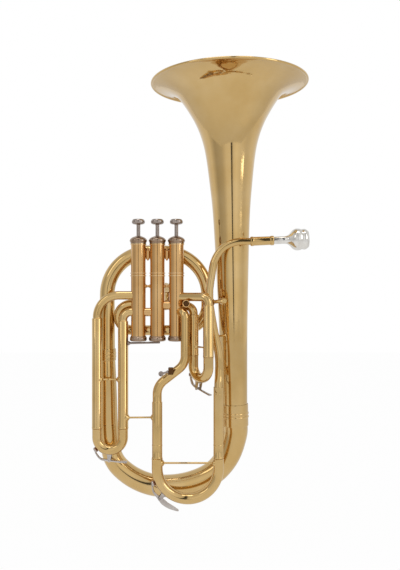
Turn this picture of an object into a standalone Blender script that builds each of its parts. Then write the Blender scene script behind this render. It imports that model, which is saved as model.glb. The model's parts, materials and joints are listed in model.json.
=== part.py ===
"""Alto horn: a valved brass horn with an upright bell, built as separate pieces in metres.

The origin is on the middle valve's axis, where the hand holds the valves. +X runs from the third
valve towards the bell, +Y from the valves back towards the bell's plane, and +Z up to the bell's mouth.
"""
import math

import bmesh
import bpy
from mathutils import Matrix, Vector

# Clearances and walls
GAP = 0.0003
TUBE_WALL = 0.0006
BELL_WALL = 0.0008
CASING_WALL = 0.0010

# Facets: sides of small and large tubes, steps of turned pieces, angle between rings in a bend
SMALL_SIDES = 10
LARGE_SIDES = 12
TURN_STEPS = 14
BELL_STEPS = 28
RING_ANGLE = math.radians(23.0)

# Valves
VALVE_SPACING = 0.0240
CASING_RADIUS = 0.0093
CASING_TOP = 0.0665
CASING_BOTTOM = -0.0617
TOP_CAP_RADIUS = 0.0110
TOP_CAP_SKIRT = 0.0067
TOP_CAP_THICKNESS = 0.0025
BOTTOM_CAP_RADIUS = 0.0108
BOTTOM_CAP_SKIRT = 0.0046
BOTTOM_CAP_THICKNESS = 0.0015
BOTTOM_CAP_DOME = 0.0003
BEAD_HEIGHT = 0.0187
BEAD_RISE = 0.0006
BEAD_HALF = 0.0014
STROKE = 0.0130
STEM_RADIUS = 0.0024
BUTTON_RADIUS = 0.0083
BUTTON_THICKNESS = 0.0070
BUTTON_CLEARANCE = 0.0013
PISTON_TOP = 0.0225
PISTON_BOTTOM = -0.0400
POCKET_DEPTH = 0.0025
SPRING_WIRE = 0.00045
SPRING_TURNS = 5
SPRING_POINTS = 8

# Valve ports: height, and angle around the casing in degrees from +X towards +Y
PORT_RADIUS = 0.0054
KNUCKLE_12_HEIGHT = -0.0186
KNUCKLE_23_HEIGHT = -0.0269
INLET_HEIGHT = -0.0265
INLET_RADIUS = 0.0057
FIRST_UPPER_HEIGHT = -0.0075
FIRST_LOWER_HEIGHT = -0.0195
FIRST_LOWER_ANGLE = 15.0
SECOND_UPPER_HEIGHT = 0.0035
SECOND_LOWER_HEIGHT = -0.0193
SECOND_ANGLE = 78.0
THIRD_UPPER_HEIGHT = -0.0058
THIRD_LOWER_HEIGHT = -0.0266
OUTLET_HEIGHT = -0.0170
OUTLET_RADIUS = 0.0060
OUTLET_Y = 0.0068
OUTLET_REACH = 0.0004
OUTLET_ANGLE = 150.0
THIRD_ANGLE = 186.0

# Where a port's tube starts, before it is coped, as a share of the casing's radius from its axis
PORT_START = 0.2
FIRST_START = 0.8

# Tuning slide
TUNING_LEFT_X = 0.0007
TUNING_RIGHT_X = 0.0769
TUNING_Y = -0.0140
TUNING_LEG_RADIUS = 0.0056
TUNING_SLEEVE_END = -0.2078
TUNING_SLEEVE_LENGTH = 0.0705
TUNING_INLET_TOP = -0.1195
TUNING_BOW_RADIUS = 0.0070
TUNING_BOW_DROP = 0.0125
TUNING_TRAVEL = 0.0500

# Crook from the left tuning sleeve up to the first valve
CROOK_LOW_CORNER = -0.1180
CROOK_HIGH_CORNER = -0.0909
CROOK_BEND_RADIUS = 0.0210
CROOK_RADIUS = 0.0057
CROOK_CLEARANCE = 0.0022
INLET_BEND_RADIUS = 0.0080

# Third slide
THIRD_OUTER_X = -0.0760
THIRD_INNER_X = -0.0432
THIRD_Y = -0.0010
THIRD_SLEEVE_END = -0.1734
THIRD_ELBOW_RADIUS = 0.0274
THIRD_INNER_ELBOW_RADIUS = 0.0100
THIRD_BOW_DROP = 0.0114
THIRD_TRAVEL = 0.0550

# First slide
FIRST_RIGHT_X = 0.0642
FIRST_RIGHT_Y = -0.0250
FIRST_LEFT_X = 0.0456
FIRST_LEFT_Y = -0.0030
FIRST_SLEEVE_END = -0.0810
FIRST_ELBOW_RADIUS = 0.0090
FIRST_BOW_DROP = 0.0130
FIRST_TRAVEL = 0.0400

# Second slide, measured along its own direction from the middle valve's axis
SECOND_SLEEVE_START = 0.0120
SECOND_SLEEVE_END = 0.0400
SECOND_BOW_DROP = 0.0070
SECOND_TRAVEL = 0.0180

# Slides in general
LEG_RADIUS = 0.0053
BOW_RADIUS = 0.0060
RING_RISE = 0.0006
RING_LENGTH = 0.0035
STEP_LENGTH = 0.0010
LEG_HOLD = 0.0200
SHORT_HOLD = 0.0100
SECOND_HOLD = 0.0070

# Bell
BELL_X = 0.0919
BELL_Y = 0.0190
BELL_RIM_HEIGHT = 0.2673
BELL_LEAN = math.radians(0.9)
BELL_LENGTH = 0.4273
BELL_RIM_RADIUS = 0.1015
RIM_BEAD = 0.0016
STEM_END_RADIUS = 0.0164
FERRULE_LENGTH = 0.0280
FERRULE_WALL = 0.0006
BAND_SPACING = 0.0044
BAND_RISE = 0.0008
BAND_TOP = 0.0006
BAND_FOOT = 0.0014
BRANCH_FERRULE_LENGTH = 0.0150

# Bottom bow and main branch, in the bell's plane
BRANCH_X = -0.0660
BRANCH_JOINT_HEIGHT = -0.0826
BRANCH_JOINT_RADIUS = 0.0100
BOTTOM_BOW_DROP = 0.0923
ARCH_RIGHT_X = 0.0633
ARCH_TOP = 0.0497
ARCH_BEND_RADIUS = 0.0545
RETURN_HEIGHT = -0.0512
RETURN_BEND_RADIUS = 0.0332
RETURN_TUBE_RADIUS = 0.0067
MAIN_BRANCH_SWELL = 0.6

# Leadpipe, receiver and mouthpiece
LEADPIPE_Y = -0.0110
LEADPIPE_START_RADIUS = 0.0044
LEADPIPE_END_RADIUS = 0.0054
RECEIVER_X = 0.1169
RECEIVER_HEIGHT = 0.0617
RECEIVER_RISE = math.radians(2.4)
RECEIVER_LENGTH = 0.0291
RECEIVER_RADIUS = 0.0060
LEADPIPE_SOCKET = 0.0080
LEADPIPE_DEPTH = 0.0060
MOUTHPIECE_SHOWN = 0.0430
MOUTHPIECE_INSERTED = 0.0200
MOUTHPIECE_RIM_RADIUS = 0.0136
SHANK_RADIUS = 0.0047
CUP_RADIUS = 0.0088
CUP_DEPTH = 0.0150
THROAT_RADIUS = 0.0021

# Stays, braces and water keys
STAY_RADIUS = 0.0016
FLANGE_RADIUS = 0.0032
FLANGE_LENGTH = 0.0020
FLANGE_SINK = 0.0008
STAY_STEPS = 10
SPACE_SIDES = 16
STAY_LEAN = 0.0030
SPACER_WIDTH = 0.0060
SPACER_HEIGHT = 0.0170
SPACER_MIDDLE = 0.0463
KEY_CUP_RADIUS = 0.0036
KEY_CUP_HEIGHT = 0.0030
KEY_ARM_RADIUS = 0.0013
KEY_TOUCH_RADIUS = 0.0021
KEY_BARREL_RADIUS = 0.0016
KEY_BARREL_LENGTH = 0.0056
KEY_SPACE_HALF_ANGLE = 55.0
KEY_SPACE_STEPS = 8
THIRD_STAY_RISE = 0.0132
UPPER_STAY_HEIGHT = -0.0120
LOWER_STAY_HEIGHT = -0.0560
THIRD_BRACE_HEIGHT = -0.1120
FIRST_BRACE_HEIGHT = -0.0700
TUNING_BRACE_DROP = 0.0062
VALVE_STAY_RADIUS = 0.0010
VALVE_STAY_END = 0.0033
VALVE_STAY_FALL = 0.0009
LYRE_X = 0.0180
LYRE_HEIGHT = -0.0985
LYRE_SIZE = 0.0062
LYRE_WALL = 0.0009
LYRE_LENGTH = 0.0086
LYRE_SCREW_RADIUS = 0.0033
LYRE_SCREW_REACH = 0.0125
LYRE_SCREW_FALL = math.radians(16.0)
LYRE_HEAD = 0.0016
LYRE_SHAFT_RADIUS = 0.0012

HORN = "alto_horn"
BRASS = ("lacquered_brass", (0.60, 0.36, 0.13, 1.0), 0.12)
NICKEL = ("nickel_plate", (0.55, 0.52, 0.48, 1.0), 0.20)
SILVER = ("silver_plate", (0.80, 0.79, 0.76, 1.0), 0.10)
STEEL = ("spring_steel", (0.30, 0.30, 0.31, 1.0), 0.35)


def clear_scene():
    for old in list(bpy.data.objects):
        bpy.data.objects.remove(old, do_unlink=True)


def make_collection(name):
    group = bpy.data.collections.new(name)
    bpy.context.scene.collection.children.link(group)
    return group


clear_scene()
pieces = make_collection(HORN)
cutters = make_collection("cutters")
materials = {}


def finish_material(finish):
    name, colour, roughness = finish
    if name not in materials:
        material = bpy.data.materials.new(name)
        material.use_nodes = True
        shader = material.node_tree.nodes["Principled BSDF"]
        shader.inputs["Base Color"].default_value = colour
        shader.inputs["Metallic"].default_value = 1.0
        shader.inputs["Roughness"].default_value = roughness
        materials[name] = material
    return materials[name]


def add_piece(name, mesh, finish, smooth=True):
    """A named object in the horn's collection, shaded smooth where it is round."""
    mesh.name = name
    mesh.materials.clear()
    mesh.materials.append(finish_material(finish))
    piece = bpy.data.objects.new(name, mesh)
    pieces.objects.link(piece)
    if smooth:
        mesh.shade_smooth()
        mesh.set_sharp_from_angle(angle=math.radians(40.0))
    return piece


def add_cutter(name, mesh):
    cutter = bpy.data.objects.new(name, mesh)
    cutter.hide_render = True
    cutter.display_type = "WIRE"
    cutters.objects.link(cutter)
    return cutter


def cut(piece, *tools):
    for tool in tools:
        boolean = piece.modifiers.new("cut_" + tool.name, "BOOLEAN")
        boolean.operation = "DIFFERENCE"
        boolean.solver = "EXACT"
        boolean.object = tool


def join(piece, *tools):
    for tool in tools:
        boolean = piece.modifiers.new("join_" + tool.name, "BOOLEAN")
        boolean.operation = "UNION"
        boolean.solver = "EXACT"
        boolean.object = tool


def aim(start, direction):
    """A matrix that takes +Z to a direction and the origin to a point."""
    turn = Vector((0.0, 0.0, 1.0)).rotation_difference(Vector(direction)).to_matrix().to_4x4()
    return Matrix.Translation(Vector(start)) @ turn


def rod_mesh(name, start, end, radius, sides=TURN_STEPS):
    """A plain round rod between two points."""
    start, end = Vector(start), Vector(end)
    mesh = bpy.data.meshes.new(name)
    shape = bmesh.new()
    bmesh.ops.create_cone(shape, cap_ends=True, segments=sides, radius1=radius, radius2=radius,
                          depth=(end - start).length)
    bmesh.ops.transform(shape, matrix=aim((start + end) / 2.0, end - start), verts=shape.verts)
    shape.to_mesh(mesh)
    shape.free()
    return mesh


def box_mesh(name, size, centre, turn=Matrix.Identity(4)):
    mesh = bpy.data.meshes.new(name)
    shape = bmesh.new()
    bmesh.ops.create_cube(shape, size=1.0)
    bmesh.ops.scale(shape, vec=Vector(size), verts=shape.verts)
    bmesh.ops.transform(shape, matrix=Matrix.Translation(Vector(centre)) @ turn, verts=shape.verts)
    shape.to_mesh(mesh)
    shape.free()
    return mesh


def turned(name, profile, finish, place=Matrix.Identity(4), steps=TURN_STEPS):
    """A closed profile of (radius, height) pairs turned about its own Z axis."""
    mesh = bpy.data.meshes.new(name)
    shape = bmesh.new()
    corners = [shape.verts.new((radius, 0.0, height)) for radius, height in profile]
    for corner, following in zip(corners, corners[1:]):
        shape.edges.new((corner, following))
    if profile[0][0] > 0.0 or profile[-1][0] > 0.0:
        shape.edges.new((corners[-1], corners[0]))
    shape.to_mesh(mesh)
    shape.free()
    piece = add_piece(name, mesh, finish)
    piece.matrix_world = place
    screw = piece.modifiers.new("turn", "SCREW")
    screw.axis = "Z"
    screw.steps = steps
    screw.render_steps = steps
    screw.use_merge_vertices = True
    screw.merge_threshold = 0.00001
    screw.use_smooth_shade = True
    return piece


def filleted(corners, bends):
    """Points of a route with straight runs and an arc of the given radius at each inner corner."""
    route = [Vector(corners[0])]
    for before, corner, after, radius in zip(corners, corners[1:], corners[2:], bends):
        before, corner, after = Vector(before), Vector(corner), Vector(after)
        towards = (before - corner).normalized()
        away = (after - corner).normalized()
        turn = math.pi - towards.angle(away)
        reach = radius * math.tan(turn / 2.0)
        centre = corner + (towards + away).normalized() * (radius / math.cos(turn / 2.0))
        first = corner + towards * reach - centre
        last = corner + away * reach - centre
        count = max(2, math.ceil(turn / RING_ANGLE))
        for step in range(count + 1):
            share = step / count
            swing = turn * share
            point = (first * math.sin(turn - swing) + last * math.sin(swing)) / math.sin(turn)
            if (centre + point - route[-1]).length > GAP:
                route.append(centre + point)
    route.append(Vector(corners[-1]))
    return route


def smooth_route(points, spans):
    """Points of a Catmull-Rom curve through the given ones, with a count for each span."""
    knots = [Vector(point) for point in points]
    knots = [knots[0] * 2.0 - knots[1]] + knots + [knots[-1] * 2.0 - knots[-2]]
    route = []
    for number in range(1, len(knots) - 2):
        before, start, end, after = knots[number - 1:number + 3]
        for step in range(spans):
            t = step / spans
            route.append(0.5 * (2.0 * start + (end - before) * t
                                + (2.0 * before - 5.0 * start + 4.0 * end - after) * t * t
                                + (3.0 * start - before - 3.0 * end + after) * t * t * t))
    route.append(knots[-2])
    return route


def lengths_along(route):
    """Distance of each route point from the start."""
    total = 0.0
    lengths = [total]
    for start, end in zip(route, route[1:]):
        total += (end - start).length
        lengths.append(total)
    return lengths


def tapered(route, start_radius, end_radius, swell=1.0):
    """Radii along a route; a swell below one widens the tube sooner."""
    lengths = lengths_along(route)
    widening = end_radius - start_radius
    return [start_radius + widening * (length / lengths[-1]) ** swell for length in lengths]


def sweep_mesh(name, route, radii, sides, capped):
    """The round sweep of a route as a mesh."""
    curve = bpy.data.curves.new(name, "CURVE")
    curve.dimensions = "3D"
    curve.bevel_resolution = (sides - 4) // 2
    curve.bevel_depth = max(radii)
    curve.use_fill_caps = capped
    spline = curve.splines.new("POLY")
    spline.points.add(len(route) - 1)
    for point, place, radius in zip(spline.points, route, radii):
        point.co = (*place, 1.0)
        point.radius = radius / curve.bevel_depth
    sweep = bpy.data.objects.new(name, curve)
    cutters.objects.link(sweep)
    bpy.context.view_layer.update()
    evaluated = sweep.evaluated_get(bpy.context.evaluated_depsgraph_get())
    mesh = bpy.data.meshes.new_from_object(evaluated)
    bpy.data.objects.remove(sweep, do_unlink=True)
    bpy.data.curves.remove(curve)
    shape = bmesh.new()
    shape.from_mesh(mesh)
    bmesh.ops.remove_doubles(shape, verts=shape.verts, dist=0.000001)
    bmesh.ops.recalc_face_normals(shape, faces=shape.faces)
    centre = Vector(route[0])
    nearest = min(shape.faces, key=lambda face: (face.calc_center_median() - centre).length)
    outward = nearest.calc_center_median() - (Vector(route[0]) + Vector(route[1])) / 2.0
    if not capped and nearest.normal.dot(outward) < 0.0:
        bmesh.ops.reverse_faces(shape, faces=shape.faces)
    shape.to_mesh(mesh)
    shape.free()
    return mesh


def tube(name, route, radii, finish=BRASS, wall=TUBE_WALL, sides=SMALL_SIDES):
    """A hollow tube with open ends."""
    piece = add_piece(name, sweep_mesh(name, route, radii, sides, False), finish)
    shell = piece.modifiers.new("wall", "SOLIDIFY")
    shell.thickness = wall
    shell.offset = -1.0
    return piece


def bore_for(radius, sides=SMALL_SIDES):
    """Bore radius whose flats clear a round piece of this radius."""
    return (radius + GAP) / math.cos(math.pi / sides)


def sleeve_for(radius, sides=SMALL_SIDES):
    return bore_for(radius, sides) + TUBE_WALL / math.cos(math.pi / sides)


SLEEVE_RADIUS = sleeve_for(LEG_RADIUS)
TUNING_SLEEVE_RADIUS = sleeve_for(TUNING_LEG_RADIUS)

# Places that follow from the driving dimensions
VALVE_X = {1: VALVE_SPACING, 2: 0.0, 3: -VALVE_SPACING}
CAP_TOP = CASING_TOP + GAP + TOP_CAP_THICKNESS
CAP_BOTTOM = CASING_BOTTOM - GAP - BOTTOM_CAP_THICKNESS
CASING_BORE = CASING_RADIUS - CASING_WALL
PISTON_RADIUS = CASING_BORE - GAP
BELL_AXIS = Vector((math.sin(BELL_LEAN), 0.0, -math.cos(BELL_LEAN)))
BELL_RIM = Vector((BELL_X, BELL_Y, BELL_RIM_HEIGHT))
STEM_END = BELL_RIM + BELL_AXIS * BELL_LENGTH
BOW_BOTTOM_HEIGHT = STEM_END.z - BOTTOM_BOW_DROP
TUNING_BRACE_HEIGHT = TUNING_SLEEVE_END - TUNING_BRACE_DROP
THIRD_STAY_HEIGHT = THIRD_SLEEVE_END + THIRD_STAY_RISE


# The horn's middle: casings, caps, pistons, springs and buttons


def polar(angle, radius=1.0):
    """A level vector at an angle in degrees from +X towards +Y."""
    return Vector((math.cos(math.radians(angle)), math.sin(math.radians(angle)), 0.0)) * radius


def angle_from(valve, x, y):
    """Direction in degrees from a valve's axis to a point."""
    return math.degrees(math.atan2(y, x - VALVE_X[valve]))


SECOND_DIRECTION = polar(SECOND_ANGLE)
INLET_X = VALVE_SPACING + CASING_RADIUS + CROOK_CLEARANCE
FIRST_UPPER_ANGLE = angle_from(1, FIRST_RIGHT_X, FIRST_RIGHT_Y)
INLET_ANGLE = angle_from(1, INLET_X, TUNING_Y)

# Each valve's ports as (angle, height, radius): the way through at rest, then the slide's two ends
THROUGH_PORTS = {
    1: [(INLET_ANGLE, INLET_HEIGHT, INLET_RADIUS), (180.0, KNUCKLE_12_HEIGHT, PORT_RADIUS)],
    2: [(0.0, KNUCKLE_12_HEIGHT, PORT_RADIUS), (180.0, KNUCKLE_23_HEIGHT, PORT_RADIUS)],
    3: [(0.0, KNUCKLE_23_HEIGHT, PORT_RADIUS), (OUTLET_ANGLE, OUTLET_HEIGHT, OUTLET_RADIUS)],
}
SLIDE_PORTS = {
    1: [(FIRST_UPPER_ANGLE, FIRST_UPPER_HEIGHT, PORT_RADIUS),
        (FIRST_LOWER_ANGLE, FIRST_LOWER_HEIGHT, PORT_RADIUS)],
    2: [(SECOND_ANGLE, SECOND_UPPER_HEIGHT, PORT_RADIUS), (SECOND_ANGLE, SECOND_LOWER_HEIGHT, PORT_RADIUS)],
    3: [(THIRD_ANGLE, THIRD_UPPER_HEIGHT, PORT_RADIUS), (THIRD_ANGLE, THIRD_LOWER_HEIGHT, PORT_RADIUS)],
}


def valve_axis(valve, height=0.0):
    return Vector((VALVE_X[valve], 0.0, height))


def make_casing(valve):
    """A tube with a beaded ring, bored where each port meets it."""
    profile = [(CASING_RADIUS, CASING_TOP)]
    profile += [(CASING_RADIUS, BEAD_HEIGHT + BEAD_HALF), (CASING_RADIUS + BEAD_RISE, BEAD_HEIGHT),
                (CASING_RADIUS, BEAD_HEIGHT - BEAD_HALF)]
    profile += [(CASING_RADIUS, CASING_BOTTOM), (CASING_BORE, CASING_BOTTOM), (CASING_BORE, CASING_TOP)]
    casing = turned(f"valve_casing_{valve}", profile, BRASS, Matrix.Translation(valve_axis(valve)))
    for number, (angle, height, radius) in enumerate(THROUGH_PORTS[valve] + SLIDE_PORTS[valve]):
        start = valve_axis(valve, height)
        name = f"casing_{valve}_port_{number}"
        reach = polar(angle, CASING_RADIUS * 1.3)
        cut(casing, add_cutter(name, rod_mesh(name, start, start + reach, radius - TUBE_WALL, SMALL_SIDES)))


def make_caps(valve):
    place = Matrix.Translation(valve_axis(valve))
    skirt_bore = CASING_RADIUS + GAP
    seat = CASING_TOP + GAP
    hole = STEM_RADIUS + GAP
    turned(f"top_cap_{valve}", [
        (TOP_CAP_RADIUS - 0.0040, CAP_TOP), (TOP_CAP_RADIUS - 0.0008, CAP_TOP - 0.0010),
        (TOP_CAP_RADIUS, CAP_TOP - 0.0022), (TOP_CAP_RADIUS, CASING_TOP - TOP_CAP_SKIRT + 0.0008),
        (TOP_CAP_RADIUS - 0.0006, CASING_TOP - TOP_CAP_SKIRT), (skirt_bore, CASING_TOP - TOP_CAP_SKIRT),
        (skirt_bore, seat), (hole, seat), (hole, CAP_TOP)], NICKEL, place)
    floor = CASING_BOTTOM - GAP
    turned(f"bottom_cap_{valve}", [
        (BOTTOM_CAP_RADIUS, CASING_BOTTOM + BOTTOM_CAP_SKIRT), (BOTTOM_CAP_RADIUS, CAP_BOTTOM + 0.0010),
        (BOTTOM_CAP_RADIUS - 0.0012, CAP_BOTTOM), (0.0, CAP_BOTTOM - BOTTOM_CAP_DOME)]
        + [(0.0, floor), (skirt_bore, floor), (skirt_bore, CASING_BOTTOM + BOTTOM_CAP_SKIRT)], NICKEL, place)


def make_piston(valve):
    """A ported piston: the straight way through, and a mouth for each end of the slide."""
    place = valve_axis(valve)
    piston = turned(f"piston_{valve}", [
        (0.0, PISTON_TOP), (PISTON_RADIUS, PISTON_TOP), (PISTON_RADIUS, PISTON_BOTTOM),
        (0.0, PISTON_BOTTOM)], NICKEL, Matrix.Translation(place))
    ends = [place + polar(angle, CASING_BORE) + Vector((0.0, 0.0, height))
            for angle, height, radius in THROUGH_PORTS[valve]]
    beyond = (ends[1] - ends[0]).normalized() * PISTON_RADIUS
    name = f"piston_{valve}_way"
    way = rod_mesh(name, ends[0] - beyond, ends[1] + beyond, PORT_RADIUS - TUBE_WALL, SMALL_SIDES)
    cut(piston, add_cutter(name, way))
    for number, (angle, height, radius) in enumerate(SLIDE_PORTS[valve]):
        middle = place + Vector((0.0, 0.0, height + STROKE))
        name = f"piston_{valve}_mouth_{number}"
        inner = middle + polar(angle, PISTON_RADIUS - POCKET_DEPTH)
        outer = middle + polar(angle, PISTON_RADIUS * 1.5)
        cut(piston, add_cutter(name, rod_mesh(name, inner, outer, radius - TUBE_WALL, SMALL_SIDES)))


def make_button(valve):
    """Finger button and its stem, which stands on the piston."""
    bottom = CAP_TOP + STROKE + BUTTON_CLEARANCE
    top = bottom + BUTTON_THICKNESS
    turned(f"finger_button_{valve}", [
        (0.0, top - 0.0006), (BUTTON_RADIUS - 0.0022, top - 0.0004), (BUTTON_RADIUS - 0.0008, top),
        (BUTTON_RADIUS, top - 0.0012), (BUTTON_RADIUS - 0.0006, top - 0.0034),
        (STEM_RADIUS + 0.0018, bottom + 0.0014), (STEM_RADIUS, bottom),
        (STEM_RADIUS, PISTON_TOP + GAP), (0.0, PISTON_TOP + GAP)], NICKEL,
        Matrix.Translation(valve_axis(valve)))


def make_spring(valve):
    """The coil that lifts the piston, from the bottom cap's floor to the piston."""
    coil_radius = PISTON_RADIUS - 3.0 * SPRING_WIRE
    low = CASING_BOTTOM - GAP + 2.0 * SPRING_WIRE
    high = PISTON_BOTTOM - GAP - SPRING_WIRE
    steps = SPRING_POINTS * SPRING_TURNS
    route = []
    for step in range(steps + 1):
        share = step / steps
        point = polar(360.0 * SPRING_TURNS * share, coil_radius)
        route.append(valve_axis(valve, low + (high - low) * share) + point)
    add_piece(f"valve_spring_{valve}", sweep_mesh("coil", route, [SPRING_WIRE] * len(route), 4, True), STEEL)
    if valve == 1:
        least = (high - low) / SPRING_TURNS - 2.0 * SPRING_WIRE
        print(f"least gap between the valve spring's turns {least * 1000.0:.2f} mm")


def casing_cutter(valve):
    """The space of one casing and its running gap, which copes the tubes that meet it."""
    name = f"casing_space_{valve}"
    return add_cutter(name, rod_mesh(name, valve_axis(valve, CASING_BOTTOM), valve_axis(valve, CASING_TOP),
                                     CASING_RADIUS + GAP, 2 * TURN_STEPS))


casing_spaces = {valve: casing_cutter(valve) for valve in VALVE_X}
for number in VALVE_X:
    make_casing(number)
    make_caps(number)
    make_piston(number)
    make_button(number)
    make_spring(number)


def make_between_casings():
    """Knuckles and upper spacers, which tie each pair of casings."""
    for name, right, left, height in (("knuckle_1_2", 1, 2, KNUCKLE_12_HEIGHT),
                                      ("knuckle_2_3", 2, 3, KNUCKLE_23_HEIGHT)):
        knuckle = tube(name, [valve_axis(right, height), valve_axis(left, height)],
                       [PORT_RADIUS, PORT_RADIUS], sides=12)
        cut(knuckle, casing_spaces[right], casing_spaces[left])
    for name, right, left in (("casing_spacer_1_2", 1, 2), ("casing_spacer_2_3", 2, 3)):
        middle = (valve_axis(right, SPACER_MIDDLE) + valve_axis(left, SPACER_MIDDLE)) / 2.0
        spacer = add_piece(name, box_mesh(name, (VALVE_SPACING, SPACER_WIDTH, SPACER_HEIGHT), middle),
                           BRASS, smooth=False)
        cut(spacer, casing_spaces[right], casing_spaces[left])


make_between_casings()


# Slides: sleeves on their ports, and the bows that draw out of them


def with_sleeve(route, port_radius, sleeve_radius, length):
    """A port's route whose last straight run becomes a sleeve with a ring at its mouth."""
    end = route[-1]
    run = (end - route[-2]).normalized()
    stations = [(length, port_radius), (length - STEP_LENGTH, sleeve_radius),
                (RING_LENGTH + STEP_LENGTH, sleeve_radius), (RING_LENGTH, sleeve_radius + RING_RISE),
                (0.0, sleeve_radius + RING_RISE)]
    path = route[:-1] + [end - run * back for back, radius in stations]
    return path, [port_radius] * (len(route) - 1) + [radius for back, radius in stations]


def slide_bow(name, left, right, out, drop, leg_length, leg_radius, bow_radius):
    """A U of tube: two inner legs in their sleeves, and the wider round bow between them."""
    left, right, out = Vector(left), Vector(right), Vector(out)
    stations = [(-leg_length, leg_radius), (GAP, leg_radius), (GAP + STEP_LENGTH, bow_radius)]
    half = (right - left).length / 2.0
    corners = [left + out * stations[-1][0], left + out * (drop + half), right + out * (drop + half),
               right + out * stations[-1][0]]
    bend = filleted(corners, [half, half])
    legs = [radius for along, radius in stations]
    route = [left + out * along for along, radius in stations[:-1]] + bend
    route += [right + out * along for along, radius in reversed(stations[:-1])]
    radii = legs[:-1] + [bow_radius] * len(bend) + legs[:-1][::-1]
    tube(name, route, radii)


def cope(piece, valve):
    cut(piece, casing_spaces[valve])


DOWN = Vector((0.0, 0.0, -1.0))


def port_start(valve, angle, height):
    return valve_axis(valve, height) + polar(angle, CASING_RADIUS * PORT_START)


def make_third_slide():
    upper_corner = (THIRD_OUTER_X, THIRD_Y, THIRD_UPPER_HEIGHT)
    lower_corner = (THIRD_INNER_X, THIRD_Y, THIRD_LOWER_HEIGHT)
    for name, height, corner, bend in (
            ("third_slide_upper_tube", THIRD_UPPER_HEIGHT, upper_corner, THIRD_ELBOW_RADIUS),
            ("third_slide_lower_tube", THIRD_LOWER_HEIGHT, lower_corner, THIRD_INNER_ELBOW_RADIUS)):
        start = (VALVE_X[3] - CASING_RADIUS * PORT_START, THIRD_Y, height)
        route = filleted([start, corner, (corner[0], corner[1], THIRD_SLEEVE_END)], [bend])
        length = height - bend - THIRD_SLEEVE_END - STEP_LENGTH
        path, radii = with_sleeve(route, PORT_RADIUS, SLEEVE_RADIUS, length)
        cope(tube(name, path, radii), 3)
    left = (THIRD_OUTER_X, THIRD_Y, THIRD_SLEEVE_END)
    right = (THIRD_INNER_X, THIRD_Y, THIRD_SLEEVE_END)
    slide_bow("third_slide_bow", left, right, DOWN, THIRD_BOW_DROP, THIRD_TRAVEL + LEG_HOLD,
              LEG_RADIUS, BOW_RADIUS)


def make_first_slide():
    for name, angle, height, x, y in (
            ("first_slide_upper_tube", FIRST_UPPER_ANGLE, FIRST_UPPER_HEIGHT, FIRST_RIGHT_X, FIRST_RIGHT_Y),
            ("first_slide_lower_tube", FIRST_LOWER_ANGLE, FIRST_LOWER_HEIGHT, FIRST_LEFT_X, FIRST_LEFT_Y)):
        start = valve_axis(1, height) + polar(angle, CASING_RADIUS * FIRST_START)
        route = filleted([start, (x, y, height), (x, y, FIRST_SLEEVE_END)], [FIRST_ELBOW_RADIUS])
        length = height - FIRST_ELBOW_RADIUS - FIRST_SLEEVE_END - STEP_LENGTH
        path, radii = with_sleeve(route, PORT_RADIUS, SLEEVE_RADIUS, length)
        cope(tube(name, path, radii), 1)
    left = (FIRST_LEFT_X, FIRST_LEFT_Y, FIRST_SLEEVE_END)
    right = (FIRST_RIGHT_X, FIRST_RIGHT_Y, FIRST_SLEEVE_END)
    slide_bow("first_slide_bow", left, right, DOWN, FIRST_BOW_DROP, FIRST_TRAVEL + SHORT_HOLD,
              LEG_RADIUS, BOW_RADIUS)


def make_second_slide():
    ends = []
    for name, height in (("second_slide_upper_tube", SECOND_UPPER_HEIGHT),
                         ("second_slide_lower_tube", SECOND_LOWER_HEIGHT)):
        end = valve_axis(2, height) + SECOND_DIRECTION * SECOND_SLEEVE_END
        route = [port_start(2, SECOND_ANGLE, height), end]
        path, radii = with_sleeve(route, PORT_RADIUS, SLEEVE_RADIUS, SECOND_SLEEVE_END - SECOND_SLEEVE_START)
        cope(tube(name, path, radii), 2)
        ends.append(end)
    slide_bow("second_slide_bow", ends[0], ends[1], SECOND_DIRECTION, SECOND_BOW_DROP,
              SECOND_TRAVEL + SECOND_HOLD, LEG_RADIUS, BOW_RADIUS)


def make_tuning_slide():
    """The sleeve under the leadpipe, the bow, and the crook from the left sleeve to the first valve."""
    top = Vector((TUNING_RIGHT_X, TUNING_Y, TUNING_INLET_TOP))
    end = Vector((TUNING_RIGHT_X, TUNING_Y, TUNING_SLEEVE_END))
    socket = sleeve_for(LEADPIPE_END_RADIUS)
    length = TUNING_INLET_TOP - TUNING_SLEEVE_END - LEADPIPE_SOCKET
    path, radii = with_sleeve([top, end], socket, TUNING_SLEEVE_RADIUS, length)
    tube("tuning_inlet_sleeve", path, radii)
    valve = valve_axis(1, INLET_HEIGHT)
    corners = [valve, (INLET_X, TUNING_Y, INLET_HEIGHT), (INLET_X, TUNING_Y, CROOK_HIGH_CORNER),
               (TUNING_LEFT_X, TUNING_Y, CROOK_LOW_CORNER), (TUNING_LEFT_X, TUNING_Y, TUNING_SLEEVE_END)]
    route = filleted(corners, [INLET_BEND_RADIUS, CROOK_BEND_RADIUS, CROOK_BEND_RADIUS])
    crook_route.extend(route[:-1])
    path, radii = with_sleeve(route, CROOK_RADIUS, TUNING_SLEEVE_RADIUS, TUNING_SLEEVE_LENGTH)
    cope(tube("tuning_outlet_tube", path, radii), 1)
    left = (TUNING_LEFT_X, TUNING_Y, TUNING_SLEEVE_END)
    right = (TUNING_RIGHT_X, TUNING_Y, TUNING_SLEEVE_END)
    slide_bow("tuning_slide_bow", left, right, DOWN, TUNING_BOW_DROP, TUNING_TRAVEL + SHORT_HOLD,
              TUNING_LEG_RADIUS, TUNING_BOW_RADIUS)


crook_route = []
make_third_slide()
make_first_slide()
make_second_slide()
make_tuning_slide()


# The large tubing: outlet crook, main branch, bottom bow and bell


def branch_place(x, height):
    return Vector((x, BELL_Y, height))


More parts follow.
